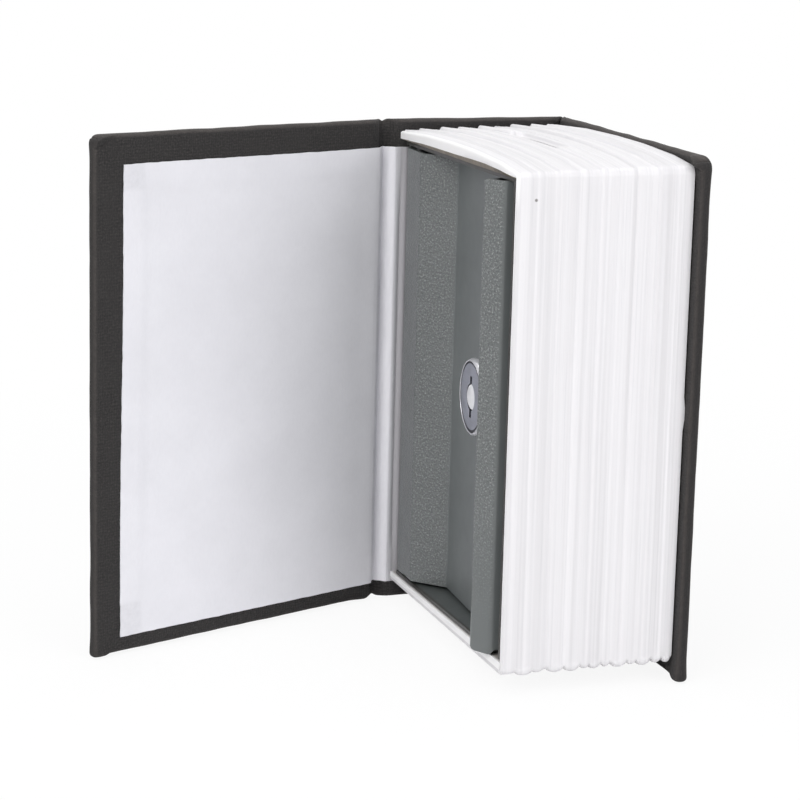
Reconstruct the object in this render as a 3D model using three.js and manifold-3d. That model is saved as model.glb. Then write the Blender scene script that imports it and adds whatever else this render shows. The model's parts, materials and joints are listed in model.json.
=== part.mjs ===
// A book diversion safe: a cloth-covered book case round a ridged page block that hides a steel
// box with a keyed door. Millimetres, +Z up. While the pieces are made, x runs from the spine to
// the fore-edge, y from the front cover to the back cover, and x = 0, y = 0 is the page block's
// front corner at the spine. The finished group is then moved so that its origin is the middle of
// the back cover's bottom edge.
import * as THREE from 'three';
import { mergeVertices } from 'three/addons/utils/BufferGeometryUtils.js';
import Module from 'manifold-3d';

const wasm = await Module();
wasm.setup();

// Book case
const coverHeight = 115;
const backCoverWidth = 80;
const frontCoverWidth = 80.8;
const boardThickness = 1.6;
const clothThickness = 0.35;
const paperThickness = 0.2;
const glueGap = 0.1;
const turnInWidth = 12;
const paperHeadMargin = 5.6;
const paperTailMargin = 4;
const paperForeMargin = 6.6;
const foldClearance = 0.6;
const jointClearance = 0.3;
const spineClearance = 2.2;
const frontClearance = 0.4;
const coverOpenAngle = 69;

// Page block
const blockDepth = 40;
const blockLift = 4.8;
const headWall = 1.6;
const tailWall = 2.3;
const foreWall = 2;
const shellClearance = 0.3;
const crownRise = 1.4;
const backRise = 0.6;
const tailSlope = 0.8;
const pageCorner = 3;
const ridgePitch = 2.5;
const ridgeHeight = 0.55;
const ridgeRun = 0.7;
const mainRidgeShare = 0.85;
const minorRidgeShare = 0.4;
const ridgeSpread = 0.15;
const ridgeDrift = 0.3;
const slotLength = 25;
const slotWidth = 3;
const slotFromSpine = 21;
const boxSlotMargin = 0.5;

// Steel box
const boxWidth = 70.2;
const boxHeight = 103.2;
const boxSetBack = 0.5;
const hingeNotchWidth = 2.7;
const hingeNotchDepth = 1.7;
const sheet = 0.8;

// Door
const doorSetBack = 0.1;
const doorHeadClearance = 0.7;
const doorTailClearance = 0.2;
const swingClearance = 0.36;
const latchSideClearance = 2.4;
const landWidth = 12.4;
const recessDepth = 6.9;
const lipWidth = 4.7;
const lipDepth = 3.8;
const flangeLength = 3.1;
const earOverhang = 1;
const pinInset = 2.5;
const pinRadius = 1;
const pinHeadClearance = 0.2;
const pinHeadHeight = 1.2;
const pinClearance = 0.15;
const doorAjarAngle = 4;

// Strike bracket
const strikeHeight = 16;
const strikeEngagement = 3.5;
const stopLip = 2.5;
const stopClearance = 0.4;
const strikePlay = 0.6;

// Lock
const lockFromHinge = 36.3;
const lockDrop = 0.6;
const bezelRadius = 8.7;
const bezelHeight = 1.7;
const bezelChamfer = 0.6;
const bezelRim = 0.8;
const barrelRadius = 7.5;
const barrelFlat = 6.8;
const plugRadius = 5.4;
const plugClearance = 0.1;
const plugFaceHeight = 0.6;
const nutAcrossFlats = 18;
const nutHeight = 3;
const nutSides = 6;
const fitClearance = 0.15;
const keywayHeight = 9.3;
const keywayWidth = 1.3;
const keywayDepth = 4.6;
const chamberWall = 0.45;
const chamberDepth = 8;
const chamberRearWall = 0.6;
const shutterClearance = 0.25;
const shutterOverlap = 0.25;
const shutterThickness = 0.5;
const shutterBossHeight = 0.5;
const shutterBossInset = 0.35;
const shutterPinRadius = 0.3;
const knuckleRadius = 0.55;
const knuckleHalfLength = 1.2;
const shutterSpringLength = 0.9;
const waferCount = 4;
const waferThickness = 0.8;
const waferPitch = 1.4;
const waferHalfWidth = 3;
const waferSlideClearance = 0.1;
const waferTravel = 0.7;
const bladeHalfHeight = 3.2;
const waferWindowHalfWidth = 1.1;
const springRadius = 0.4;
const springLength = 1.8;
const springRun = 0.1;
const plugWeb = 0.4;
const plugRear = 2.8;
const plugOverhang = 0.3;

// Cam
const camThickness = 1.6;
const camTipClearance = 3;
const camClearance = 0.5;
const camPlay = 0.1;
const camWidth = 10;
const camHubRadius = 7;
const tailHalf = 3;
const screwRadius = 1.45;
const screwHeadRadius = 2.8;
const screwHeadHeight = 1.6;
const screwSlotWidth = 0.8;
const washerRadius = 4.2;
const washerThickness = 0.5;

// Facets round small, middling and large circles and in each curve of the page block's outline, and
// how far a cutting solid runs past its work
const smallFacets = 12;
const middleFacets = 16;
const roundFacets = 32;
const overrun = 1;
const crownFacets = 6;

// Places that follow from the sizes above
const clothAndGlue = clothThickness + glueGap;
const coverThickness = boardThickness + 2 * clothAndGlue;
const paperedThickness = coverThickness + glueGap + paperThickness;
const jointReach = paperedThickness + foldClearance;
const spineOuterX = -(spineClearance + paperedThickness);
const frontOuterY = -(frontClearance + paperedThickness);
const backOuterY = blockDepth + glueGap + paperedThickness;
const spineWidth = backOuterY - frontOuterY;

const boxBottom = blockLift + tailWall + shellClearance;
const boxTop = boxBottom + boxHeight;
const boxFront = boxSetBack;
const boxBack = blockDepth - glueGap;
const blockWidth = boxWidth + shellClearance + foreWall;
const blockHead = boxTop + shellClearance + headWall;

const doorFace = boxFront + doorSetBack;
const doorLeft = sheet + swingClearance + (Math.SQRT2 - 1) * pinInset;
const doorRight = boxWidth - sheet - latchSideClearance;
const doorBottom = boxBottom + sheet + doorTailClearance;
const doorTop = boxTop - sheet - doorHeadClearance;
const hingeX = doorLeft + pinInset;
const hingeY = doorFace + pinInset;
const floorY = doorFace + recessDepth;
const lockX = hingeX + lockFromHinge;
const lockZ = (boxBottom + boxTop) / 2 - lockDrop;
const flangeEnd = doorFace + lipDepth + flangeLength;
const hingeReturn = 2 * pinInset;
const pinHoleRadius = pinRadius + pinClearance;

// Places along the lock, with y = 0 on the door's outer face and +y inwards
const boreRadius = plugRadius + plugClearance;
const counterboreRadius = bezelRadius - bezelRim;
const plugFaceRadius = counterboreRadius - 2 * plugClearance;
const plugFront = plugClearance - bezelHeight;
const chamberFront = plugFront + plugFaceHeight;
const chamberHalf = (plugRadius - chamberWall) / Math.SQRT2;
const shutterRadius = chamberHalf - shutterClearance;
const windowRadius = shutterRadius - shutterOverlap;
const flapFront = chamberFront + 2 * glueGap;
const flapPinY = flapFront + shutterThickness + glueGap + knuckleRadius;
const flapPinX = -(chamberHalf - knuckleRadius - glueGap);
const waferHalfHeight = Math.sqrt((plugRadius - waferSlideClearance) ** 2 - waferHalfWidth ** 2);
const waferStart = chamberFront + chamberDepth + chamberRearWall;
const waferPlace = (index) => waferStart + index * waferPitch;
const bladeEnd = waferStart + waferCount * waferPitch;

// Each wafer's spring stands on a ledge of the plug and pushes up under the wafer's shoulder
const springX = waferHalfWidth - springRadius - springRun;
const notchX = springX - springRadius - 2 * springRun;
const ledgeTop = 2 * springRadius - waferHalfHeight;
const shoulderZ = ledgeTop + springLength + 2 * springRun;

const barrelLength = bladeEnd + plugRear;
const plugEnd = barrelLength + plugOverhang;
const camFront = barrelLength + camClearance;
const tailEnd = camFront + camThickness + camPlay;

// The strike bracket's foot lies on the inside of the fore-edge wall, and the cam reaches towards it
const strikeFootX = boxWidth - sheet - glueGap;
const camLength = strikeFootX - sheet - camTipClearance - lockX;

// Materials, one set of values for each finish
const finishes = {
  cloth: { color: 0x383533, roughness: 0.82, metalness: 0 },
  board: { color: 0x8b7f70, roughness: 0.9, metalness: 0 },
  paper: { color: 0xe3e3ea, roughness: 0.75, metalness: 0 },
  pages: { color: 0xf4f4f7, roughness: 0.5, metalness: 0 },
  paint: { color: 0x697070, roughness: 0.45, metalness: 0.25 },
  plated: { color: 0x878a96, roughness: 0.3, metalness: 1 },
  bright: { color: 0xd8d8da, roughness: 0.2, metalness: 1 },
  brass: { color: 0xb59a5c, roughness: 0.35, metalness: 1 },
};

function solid(geometry) {
  geometry.deleteAttribute('normal');
  geometry.deleteAttribute('uv');
  const merged = mergeVertices(geometry);
  return new wasm.Manifold(new wasm.Mesh({
    numProp: 3,
    vertProperties: merged.attributes.position.array,
    triVerts: new Uint32Array(merged.index.array),
  }));
}

function piece(name, shape, finish) {
  const mesh = shape.getMesh();
  const geometry = new THREE.BufferGeometry();
  geometry.setAttribute('position', new THREE.BufferAttribute(new Float32Array(mesh.vertProperties), 3));
  geometry.setIndex(new THREE.BufferAttribute(new Uint32Array(mesh.triVerts), 1));
  geometry.computeVertexNormals();
  const made = new THREE.Mesh(geometry, new THREE.MeshStandardMaterial(finishes[finish]));
  made.name = name;
  return made;
}

function block([x0, x1], [y0, y1], [z0, z1]) {
  const geometry = new THREE.BoxGeometry(x1 - x0, y1 - y0, z1 - z0);
  geometry.translate((x0 + x1) / 2, (y0 + y1) / 2, (z0 + z1) / 2);
  return solid(geometry);
}

// A flat outline in x and y, raised along z
function uprightPrism(shape, z0, z1) {
  const geometry = new THREE.ExtrudeGeometry(shape, { depth: z1 - z0, bevelEnabled: false });
  geometry.translate(0, 0, z0);
  return solid(geometry);
}

// A flat outline in x and z, carried along y
function deepPrism(shape, y0, y1) {
  const geometry = new THREE.ExtrudeGeometry(shape, { depth: y1 - y0, bevelEnabled: false });
  geometry.rotateX(Math.PI / 2);
  geometry.translate(0, y1, 0);
  return solid(geometry);
}

function turned(profile) {
  const points = profile.map(([radius, y]) => new THREE.Vector2(radius, y));
  return solid(new THREE.LatheGeometry(points, roundFacets));
}

function rod(axis, radius, from, to, facets = smallFacets) {
  const geometry = new THREE.CylinderGeometry(radius, radius, to - from, facets);
  geometry.translate(0, (from + to) / 2, 0);
  if (axis === 'z') geometry.rotateX(Math.PI / 2);
  if (axis === 'x') geometry.rotateZ(-Math.PI / 2);
  return solid(geometry);
}

function outline(points) {
  return new THREE.Shape(points.map(([x, y]) => new THREE.Vector2(x, y)));
}

// The same path moved sideways to its left, with mitred corners
function offsetPath(path, distance) {
  const sides = path.slice(1).map(([x, y], i) => {
    const along = new THREE.Vector2(x - path[i][0], y - path[i][1]).normalize();
    return new THREE.Vector2(-along.y, along.x);
  });
  return path.map(([x, y], i) => {
    const before = sides[Math.max(i - 1, 0)];
    const after = sides[Math.min(i, sides.length - 1)];
    const mitre = before.clone().add(after);
    mitre.multiplyScalar(distance / mitre.dot(after));
    return [x + mitre.x, y + mitre.y];
  });
}

// Bent sheet: the path is its right-hand face, and the sheet lies to the left of it
function bentSheet(path, thickness, z0, z1) {
  const far = offsetPath(path, thickness).reverse();
  return uprightPrism(outline([...path, ...far]), z0, z1);
}

// One covered board, lying along +x from its joint at x = 0. Its outer face is at y = 0 and its
// inner face towards inner * y. A spine has both long sides open, a cover only its joint side.
function coveredBoard({ prefix, width, inner, isSpine, paperName }) {
  const across = (from, to) => (inner > 0 ? [from, to] : [-to, -from]);
  const far = isSpine ? width - jointReach : width;
  const closedEnd = (inset) => (isSpine ? far + overrun : far - inset);
  const boardEnd = isSpine ? far : far - clothAndGlue;
  const paperEnd = isSpine ? far : far - paperForeMargin;

  const board = block(
    [jointReach, boardEnd],
    across(clothAndGlue, clothAndGlue + boardThickness),
    [clothAndGlue, coverHeight - clothAndGlue],
  );
  const space = block(
    [jointReach - overrun, closedEnd(clothThickness)],
    across(clothThickness, coverThickness - clothThickness),
    [clothThickness, coverHeight - clothThickness],
  );
  const window = block(
    [jointReach - overrun, closedEnd(turnInWidth)],
    across(coverThickness / 2, coverThickness + overrun),
    [turnInWidth, coverHeight - turnInWidth],
  );
  const wrap = block([jointReach, far], across(0, coverThickness), [0, coverHeight])
    .subtract(space)
    .subtract(window);
  const paper = block(
    [jointReach, paperEnd],
    across(coverThickness + glueGap, paperedThickness),
    [paperTailMargin, coverHeight - paperHeadMargin],
  );
  return [
    piece(`${prefix}_board`, board, 'board'),
    piece(`${prefix}_wrap`, wrap, 'cloth'),
    piece(paperName, paper, 'paper'),
  ];
}

// The cloth between two boards, folded at the crease (0, 0), and the paper pasted into the fold.
// The path runs so that the inside of the case lies to its left.
function jointStrips(prefix, fromAngle, toAngle) {
  const reach = jointReach - jointClearance;
  const end = (angle) => [
    reach * Math.cos(THREE.MathUtils.degToRad(angle)),
    reach * Math.sin(THREE.MathUtils.degToRad(angle)),
  ];
  const outer = [end(fromAngle), [0, 0], end(toAngle)];
  const pasted = offsetPath(outer, clothAndGlue);
  const paperTop = coverHeight - paperHeadMargin;
  return [
    piece(`${prefix}_joint_cloth`, bentSheet(outer, clothThickness, 0, coverHeight), 'cloth'),
    piece(`${prefix}_joint_paper`, bentSheet(pasted, paperThickness, paperTailMargin, paperTop), 'paper'),
  ];
}

// The outer outline of the page block at its front, in x and z
function pageOutline() {
  const corner = pageCorner;
  const head = blockHead;
  const shape = new THREE.Shape();
  shape.moveTo(0, blockLift + tailSlope);
  shape.lineTo(blockWidth - corner, blockLift);
  shape.absarc(blockWidth - corner, blockLift + corner, corner, -Math.PI / 2, 0);
  shape.lineTo(blockWidth, head - corner);
  shape.absarc(blockWidth - corner, head - corner, corner, 0, Math.PI / 2);
  shape.quadraticCurveTo((blockWidth - corner) / 2, head + 2 * crownRise, 0, head);
  return shape;
}

// Where the page ridges lie in y and how far each stands out. A ridge rises over a short run and
// falls back slowly, every second one is smaller, and none is quite like the next.
function ridgeStations() {
  const driftTurn = 2.4;
  const spreadTurn = 1.7;
  const count = Math.max(Math.round(blockDepth / ridgePitch), 2);
  const pitch = blockDepth / count;
  const stations = [];
  for (let i = 0; i < count; i += 1) {
    const drift = ridgeDrift * Math.sin(driftTurn * i);
    const share = (i % 2 === 0 ? mainRidgeShare : minorRidgeShare) + ridgeSpread * Math.sin(spreadTurn * i);
    stations.push({ y: i * pitch + drift, out: 0 });
    stations.push({ y: i * pitch + drift + ridgeRun, out: ridgeHeight * share });
  }
  stations.push({ y: blockDepth, out: 0 });
  return stations;
}

function pageBlockOuter() {
  const stations = ridgeStations();
  const steps = stations.length - 1;
  const geometry = new THREE.ExtrudeGeometry(pageOutline(), {
    depth: blockDepth, steps, bevelEnabled: false, curveSegments: crownFacets,
  });
  const position = geometry.attributes.position;
  const coreRight = blockWidth - pageCorner;
  const coreHead = blockHead - pageCorner;
  const coreTail = blockLift + pageCorner;
  for (let i = 0; i < position.count; i += 1) {
    const x = position.getX(i);
    const z = position.getY(i);
    const station = stations[Math.round((position.getZ(i) / blockDepth) * steps)];
    const nearestZ = THREE.MathUtils.clamp(z, coreTail, coreHead);
    const away = new THREE.Vector2(Math.max(x - coreRight, 0), z - nearestZ);
    if (away.length() > 0) away.setLength(station.out);
    const rise = z > coreHead ? (backRise * station.y) / blockDepth : 0;
    position.setXYZ(i, x + away.x, station.y, z + away.y + rise);
  }
  // Taking y and z from the outline's z and y turns every face over, so each is turned back
  for (let i = 0; i < position.count; i += 3) {
    const first = new THREE.Vector3().fromBufferAttribute(position, i);
    const second = new THREE.Vector3().fromBufferAttribute(position, i + 1);
    position.setXYZ(i, second.x, second.y, second.z);
    position.setXYZ(i + 1, first.x, first.y, first.z);
  }
  return solid(geometry);
}

function coinSlot(margin, z0, z1) {
  const middle = blockDepth / 2;
  const half = slotWidth / 2 + margin;
  return block(
    [slotFromSpine - margin, slotFromSpine + slotLength + margin],
    [middle - half, middle + half],
    [z0, z1],
  );
}

function pageShell() {
  const space = block(
    [-overrun, boxWidth + shellClearance],
    [-overrun, blockDepth + overrun],
    [boxBottom - shellClearance, boxTop + shellClearance],
  );
  const slot = coinSlot(0, boxTop, blockHead + 2 * (crownRise + backRise) + overrun);
  return piece('page_shell', pageBlockOuter().subtract(space).subtract(slot), 'pages');
}

function boxBody() {
  const inside = block(
    [sheet, boxWidth - sheet],
    [boxFront - overrun, boxBack - sheet],
    [boxBottom + sheet, boxTop - sheet],
  );
  const pinHoles = rod('z', pinHoleRadius, boxBottom - overrun, boxTop + overrun, middleFacets)
    .translate([hingeX, hingeY, 0]);
  // The front corner beside the hinge is cut back, to leave room for the door's edge
  const hingeNotch = block(
    [-overrun, hingeNotchWidth],
    [boxFront - overrun, boxFront + hingeNotchDepth],
    [boxBottom - overrun, boxTop + overrun],
  );
  const body = block([0, boxWidth], [boxFront, boxBack], [boxBottom, boxTop])
    .subtract(inside)
    .subtract(hingeNotch)
    .subtract(pinHoles)
    .subtract(coinSlot(boxSlotMargin, boxTop - 2 * sheet, boxTop + overrun));
  return piece('box_body', body, 'paint');
}

// A bent bracket on the box's fore-edge wall: its front lip stops the door, and the locked cam
// lies behind its rear lip
function strikeBracket() {
  const stopY = flangeEnd + stopClearance;
  const rearY = floorY + camFront - strikePlay;
  const path = [
    [strikeFootX - sheet - stopLip, stopY],
    [strikeFootX, stopY],
    [strikeFootX, rearY],
    [lockX + camLength - strikeEngagement, rearY],
  ];
  const bracket = bentSheet(path, sheet, lockZ - strikeHeight / 2, lockZ + strikeHeight / 2);
  return piece('strike_bracket', bracket, 'paint');
}

// The door in its closed place, drawn round the hinge axis
function doorPanel() {
  const ridgeX = doorRight - lipWidth;
  const path = [
    [doorLeft, doorFace + hingeReturn],
    [doorLeft, doorFace],
    [doorLeft + landWidth, doorFace],
    [doorLeft + landWidth + recessDepth, floorY],
    [ridgeX - recessDepth, floorY],
    [ridgeX, doorFace],
    [doorRight, doorFace + lipDepth],
    [doorRight, flangeEnd],
  ];
  const ear = (z) => block(
    [doorLeft, doorLeft + hingeReturn + earOverhang],
    [doorFace, doorFace + hingeReturn],
    [z, z + sheet],
  );
  const axisHole = rod('z', pinHoleRadius, doorBottom - overrun, doorTop + overrun, middleFacets)
    .translate([hingeX, hingeY, 0]);
  const lockHole = rod('y', barrelRadius + fitClearance, floorY - overrun, floorY + 2 * sheet, roundFacets)
    .intersect(block(
      [-(barrelFlat + fitClearance), barrelFlat + fitClearance],
      [floorY - overrun, floorY + 2 * sheet],
      [-2 * barrelRadius, 2 * barrelRadius],
    ))
    .translate([lockX, 0, lockZ]);
  const panel = bentSheet(path, sheet, doorBottom, doorTop)
    .add(ear(doorBottom))
    .add(ear(doorTop - sheet))
    .subtract(axisHole)
    .subtract(lockHole)
    .translate([-hingeX, -hingeY, 0]);
  return piece('door_panel', panel, 'paint');
}

// A headed pin through the box wall and the door's ear; side is 1 at the top and -1 at the bottom
function hingePin(name, wallFace, earFace, side) {
  const headRadius = pinInset - sheet - pinHeadClearance;
  const headStart = earFace - side * glueGap;
  const headEnd = headStart - side * pinHeadHeight;
  const span = (a, b) => [Math.min(a, b), Math.max(a, b)];
  const shank = rod('z', pinRadius, ...span(wallFace, headEnd), middleFacets);
  const head = rod('z', headRadius, ...span(headStart, headEnd), middleFacets);
  const pin = shank.add(head).translate([hingeX, hingeY, 0]);
  return piece(name, pin, 'bright');
}

function lockBody() {
  const profile = [
    [boreRadius, barrelLength],
    [boreRadius, chamberFront],
    [counterboreRadius, chamberFront],
    [counterboreRadius, -bezelHeight],
    [bezelRadius - bezelChamfer, -bezelHeight],
    [bezelRadius, bezelChamfer - bezelHeight],
    [bezelRadius, -glueGap],
    [barrelRadius, -glueGap],
    [barrelRadius, barrelLength],
    [boreRadius, barrelLength],
  ];
  const flat = (side) => block(
    side > 0 ? [barrelFlat, 2 * barrelRadius] : [-2 * barrelRadius, -barrelFlat],
    [0, barrelLength + overrun],
    [-2 * barrelRadius, 2 * barrelRadius],
  );
  const grooveHalf = waferHalfWidth + 2 * waferSlideClearance;
  const grooveTop = waferHalfHeight + waferTravel + 2 * waferSlideClearance;
  const along = [waferPlace(0) - waferSlideClearance, bladeEnd];
  const grooveUp = block([-grooveHalf, grooveHalf], along, [0, grooveTop]);
  const grooveAcross = block([0, grooveTop], along, [-grooveHalf, grooveHalf]);
  const body = turned(profile)
    .subtract(flat(1))
    .subtract(flat(-1))
    .subtract(grooveUp)
    .subtract(grooveAcross);
  return piece('lock_body', body, 'plated');
}

function lockNut() {
  const from = sheet + glueGap;
  const cornerRadius = nutAcrossFlats / Math.sqrt(3);
  const nut = rod('y', cornerRadius, from, from + nutHeight, nutSides)
    .subtract(rod('y', barrelRadius + fitClearance, from - overrun, from + nutHeight + overrun, roundFacets));
  return piece('lock_nut', nut, 'plated');
}

function lockPlug() {
  const deep = 2 * plugFaceRadius;
  const waferSlot = (index) => {
    const along = [
      waferPlace(index) - waferSlideClearance,
      waferPlace(index) + waferThickness + waferSlideClearance,
    ];
    const half = waferHalfWidth + waferSlideClearance;
    return block([-half, notchX + springRun], along, [-deep, deep])
      .add(block([notchX, half], along, [ledgeTop, deep]));
  };
  const chamberSpan = [-chamberHalf, chamberHalf];
  let plug = rod('y', plugRadius, plugFront, plugEnd, roundFacets)
    .add(rod('y', plugFaceRadius, plugFront, chamberFront - 2 * plugClearance, roundFacets))
    .add(block([-tailHalf, tailHalf], [plugEnd - overrun, tailEnd], [-tailHalf, tailHalf]))
    .subtract(rod('y', windowRadius, plugFront - overrun, chamberFront + overrun, roundFacets))
    .subtract(block(chamberSpan, [chamberFront, chamberFront + chamberDepth], chamberSpan))
    .subtract(block(
      [-keywayWidth / 2, keywayWidth / 2],
      [plugFront - overrun, plugFront + keywayDepth],
      [-keywayHeight / 2, keywayHeight / 2],
    ))
    .subtract(block(
      [-keywayWidth / 2, keywayWidth / 2],
      [chamberFront + overrun, bladeEnd],
      [-bladeHalfHeight, bladeHalfHeight],
    ))
    .subtract(rod('y', screwRadius + fitClearance, bladeEnd + plugWeb, tailEnd + overrun));
  for (let i = 0; i < waferCount; i += 1) plug = plug.subtract(waferSlot(i));
  return piece('lock_plug', plug, 'plated');
}

// The flap closes the round window from behind, with a boss that stands in it, and a key pushes its
// free edge in. Its upright pin is near the left wall of the chamber.
function keyShutter() {
  const halfLength = [-knuckleHalfLength, knuckleHalfLength];
  const knuckle = rod('z', knuckleRadius, ...halfLength)
    .add(block([-knuckleRadius, knuckleRadius], [flapFront - flapPinY + shutterThickness / 2, 0], halfLength))
    .translate([flapPinX, flapPinY, 0]);
  const pinHole = rod('z', shutterPinRadius + glueGap, -2 * shutterRadius, 2 * shutterRadius)
    .translate([flapPinX, flapPinY, 0]);
  const bossRadius = windowRadius - shutterBossInset;
  const flap = rod('y', shutterRadius, flapFront, flapFront + shutterThickness, roundFacets)
    .add(rod('y', bossRadius, flapFront - shutterBossHeight, flapFront + overrun, roundFacets))
    .add(knuckle)
    .subtract(pinHole);
  return piece('key_shutter', flap, 'bright');
}

function shutterPin() {
  const half = chamberHalf - glueGap;
  const pin = rod('z', shutterPinRadius, -half, half).translate([flapPinX, flapPinY, 0]);
  return piece('shutter_pin', pin, 'bright');
}

function shutterSpring() {
  const from = knuckleHalfLength + glueGap;
  const coil = rod('z', knuckleRadius, from, from + shutterSpringLength)
    .subtract(rod('z', shutterPinRadius + glueGap, from - overrun, from + shutterSpringLength + overrun))
    .translate([flapPinX, flapPinY, 0]);
  return piece('shutter_spring', coil, 'bright');
}

function wafer(index) {
  const y = waferPlace(index);
  const through = [y - overrun, y + waferThickness + overrun];
  const bladeWindow = block(
    [-waferWindowHalfWidth, waferWindowHalfWidth],
    through,
    [-bladeHalfHeight, bladeHalfHeight],
  );
  const springNotch = block([notchX, 2 * waferHalfWidth], through, [-2 * waferHalfHeight, shoulderZ]);
  const plate = block(
    [-waferHalfWidth, waferHalfWidth],
    [y, y + waferThickness],
    [-waferHalfHeight, waferHalfHeight],
  )
    .subtract(bladeWindow)
    .subtract(springNotch);
  return piece(`wafer_${index + 1}`, plate, 'brass');
}

function waferSpring(index) {
  const y = waferPlace(index) + waferThickness / 2;
  const from = ledgeTop + springRun;
  const spring = rod('z', springRadius, from, from + springLength).translate([springX, y, 0]);
  return piece(`wafer_spring_${index + 1}`, spring, 'bright');
}

// The cam points up when the lock is open, and towards the fore-edge when it is locked
function cam() {
  const half = camWidth / 2;
  const startAngle = Math.asin(half / camHubRadius);
  const shape = new THREE.Shape();
  shape.moveTo(half, camLength - half);
  shape.absarc(0, camLength - half, half, 0, Math.PI);
  shape.absarc(0, 0, camHubRadius, Math.PI / 2 + startAngle, 2 * Math.PI + Math.PI / 2 - startAngle);
  const hole = tailHalf + plugClearance;
  const plate = deepPrism(shape, camFront, camFront + camThickness)
    .subtract(block([-hole, hole], [camFront - overrun, camFront + camThickness + overrun], [-hole, hole]));
  return piece('cam', plate, 'plated');
}

function camWasher() {
  const from = tailEnd + glueGap;
  const washer = rod('y', washerRadius, from, from + washerThickness, roundFacets)
    .subtract(rod('y', screwRadius + fitClearance, from - overrun, from + washerThickness + overrun));
  return piece('cam_washer', washer, 'bright');
}

function camScrew() {
  const headFrom = tailEnd + washerThickness + 2 * glueGap;
  const screw = rod('y', screwRadius, bladeEnd + plugWeb + 2 * fitClearance, headFrom + screwHeadHeight / 2)
    .add(rod('y', screwHeadRadius, headFrom, headFrom + screwHeadHeight, middleFacets))
    .subtract(block(
      [-screwSlotWidth / 2, screwSlotWidth / 2],
      [headFrom + screwHeadHeight / 2, headFrom + 2 * screwHeadHeight],
      [-2 * screwHeadRadius, 2 * screwHeadRadius],
    ));
  return piece('cam_screw', screw, 'bright');
}

function groupAt([x, y, z], turnDegrees, ...children) {
  const group = new THREE.Group();
  group.position.set(x, y, z);
  group.rotation.z = THREE.MathUtils.degToRad(turnDegrees);
  group.add(...children);
  return group;
}

const backCover = groupAt(
  [spineOuterX, backOuterY, 0],
  0,
  ...coveredBoard({
    prefix: 'back_cover', width: backCoverWidth, inner: -1, isSpine: false, paperName: 'back_endpaper',
  }),
  ...jointStrips('back', -90, 0),
);

// The spine lies along its own +x from the back crease to the front crease
const spine = groupAt(
  [spineOuterX, backOuterY, 0],
  -90,
  ...coveredBoard({
    prefix: 'spine', width: spineWidth, inner: 1, isSpine: true, paperName: 'spine_lining',
  }),
);

const frontJoint = groupAt(
  [spineOuterX, frontOuterY, 0],
  0,
  ...jointStrips('front', -coverOpenAngle, 90),
);

const frontCover = groupAt(
  [spineOuterX, frontOuterY, 0],
  -coverOpenAngle,
  ...coveredBoard({
    prefix: 'front_cover', width: frontCoverWidth, inner: 1, isSpine: false, paperName: 'front_endpaper',
  }),
);

const wafers = Array.from({ length: waferCount }, (_, i) => [wafer(i), waferSpring(i)]).flat();

const lock = groupAt(
  [lockX - hingeX, floorY - hingeY, lockZ],
  0,
  lockBody(),
  lockNut(),
  lockPlug(),
  keyShutter(),
  shutterPin(),
  shutterSpring(),
  ...wafers,
  cam(),
  camWasher(),
  camScrew(),
);

const door = groupAt([hingeX, hingeY, 0], -doorAjarAngle, doorPanel(), lock);

const safe = new THREE.Group();
safe.add(
  backCover,
  spine,
  frontJoint,
  frontCover,
  pageShell(),
  boxBody(),
  strikeBracket(),
  hingePin('hinge_pin_top', boxTop, doorTop - sheet, 1),
  hingePin('hinge_pin_bottom', boxBottom, doorBottom + sheet, -1),
  door,
);
safe.position.set(
  -(spineOuterX + backCoverWidth / 2),
  -(backOuterY - coverThickness / 2),
  0,
);

export default safe;
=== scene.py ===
import json
import math

import bmesh
import bpy
import numpy as np
from mathutils import Matrix, Vector, noise


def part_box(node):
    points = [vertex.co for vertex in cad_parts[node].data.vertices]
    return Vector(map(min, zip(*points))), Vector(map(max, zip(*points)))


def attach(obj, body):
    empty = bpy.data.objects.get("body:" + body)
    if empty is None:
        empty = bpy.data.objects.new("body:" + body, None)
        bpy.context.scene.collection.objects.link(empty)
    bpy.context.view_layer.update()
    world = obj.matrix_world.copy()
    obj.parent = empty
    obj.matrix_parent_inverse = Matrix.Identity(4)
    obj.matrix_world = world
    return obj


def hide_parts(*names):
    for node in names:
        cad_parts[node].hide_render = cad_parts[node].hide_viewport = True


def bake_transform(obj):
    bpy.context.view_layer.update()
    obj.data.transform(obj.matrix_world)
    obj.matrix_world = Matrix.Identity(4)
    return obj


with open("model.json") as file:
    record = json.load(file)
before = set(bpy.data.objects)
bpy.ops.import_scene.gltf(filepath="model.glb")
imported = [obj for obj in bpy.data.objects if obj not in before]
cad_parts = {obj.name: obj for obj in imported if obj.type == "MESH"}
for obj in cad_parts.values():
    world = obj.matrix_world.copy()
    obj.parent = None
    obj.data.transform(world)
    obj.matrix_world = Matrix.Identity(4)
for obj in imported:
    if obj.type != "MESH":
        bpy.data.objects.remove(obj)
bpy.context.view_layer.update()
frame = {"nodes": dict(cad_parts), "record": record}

# Sizes of the part in millimetres, in the book's frame: x from the spine to the fore-edge, y from
# the front cover to the back cover, z up. Its origin is the page block's front corner at the spine.
MM = 0.001
ORIGIN = Vector((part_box("box_body")[0].x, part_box("page_shell")[0].y, 0.0))
COVER_HEIGHT = 115.0
BACK_WIDTH, FRONT_WIDTH, SPINE_WIDTH = 80.0, 80.8, 46.1
COVER_THICK, CLOTH, PAPER, GLUE = 2.5, 0.35, 0.2, 0.1
TURN_IN = 12.0
PAPER_HEAD, PAPER_TAIL, PAPER_FORE = 6.4, 4.0, 6.6
REACH = 3.4
SPINE_X, FRONT_Y, BACK_Y = -5.0, -3.2, 42.9
OPEN_ANGLE = -69.0
BLOCK_DEPTH, BLOCK_WIDTH = 40.0, 72.5
BLOCK_TAIL, BLOCK_HEAD = 4.8, 112.5
SPACE_X, SPACE_TAIL, SPACE_HEAD = 70.5, 7.1, 110.9
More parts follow.
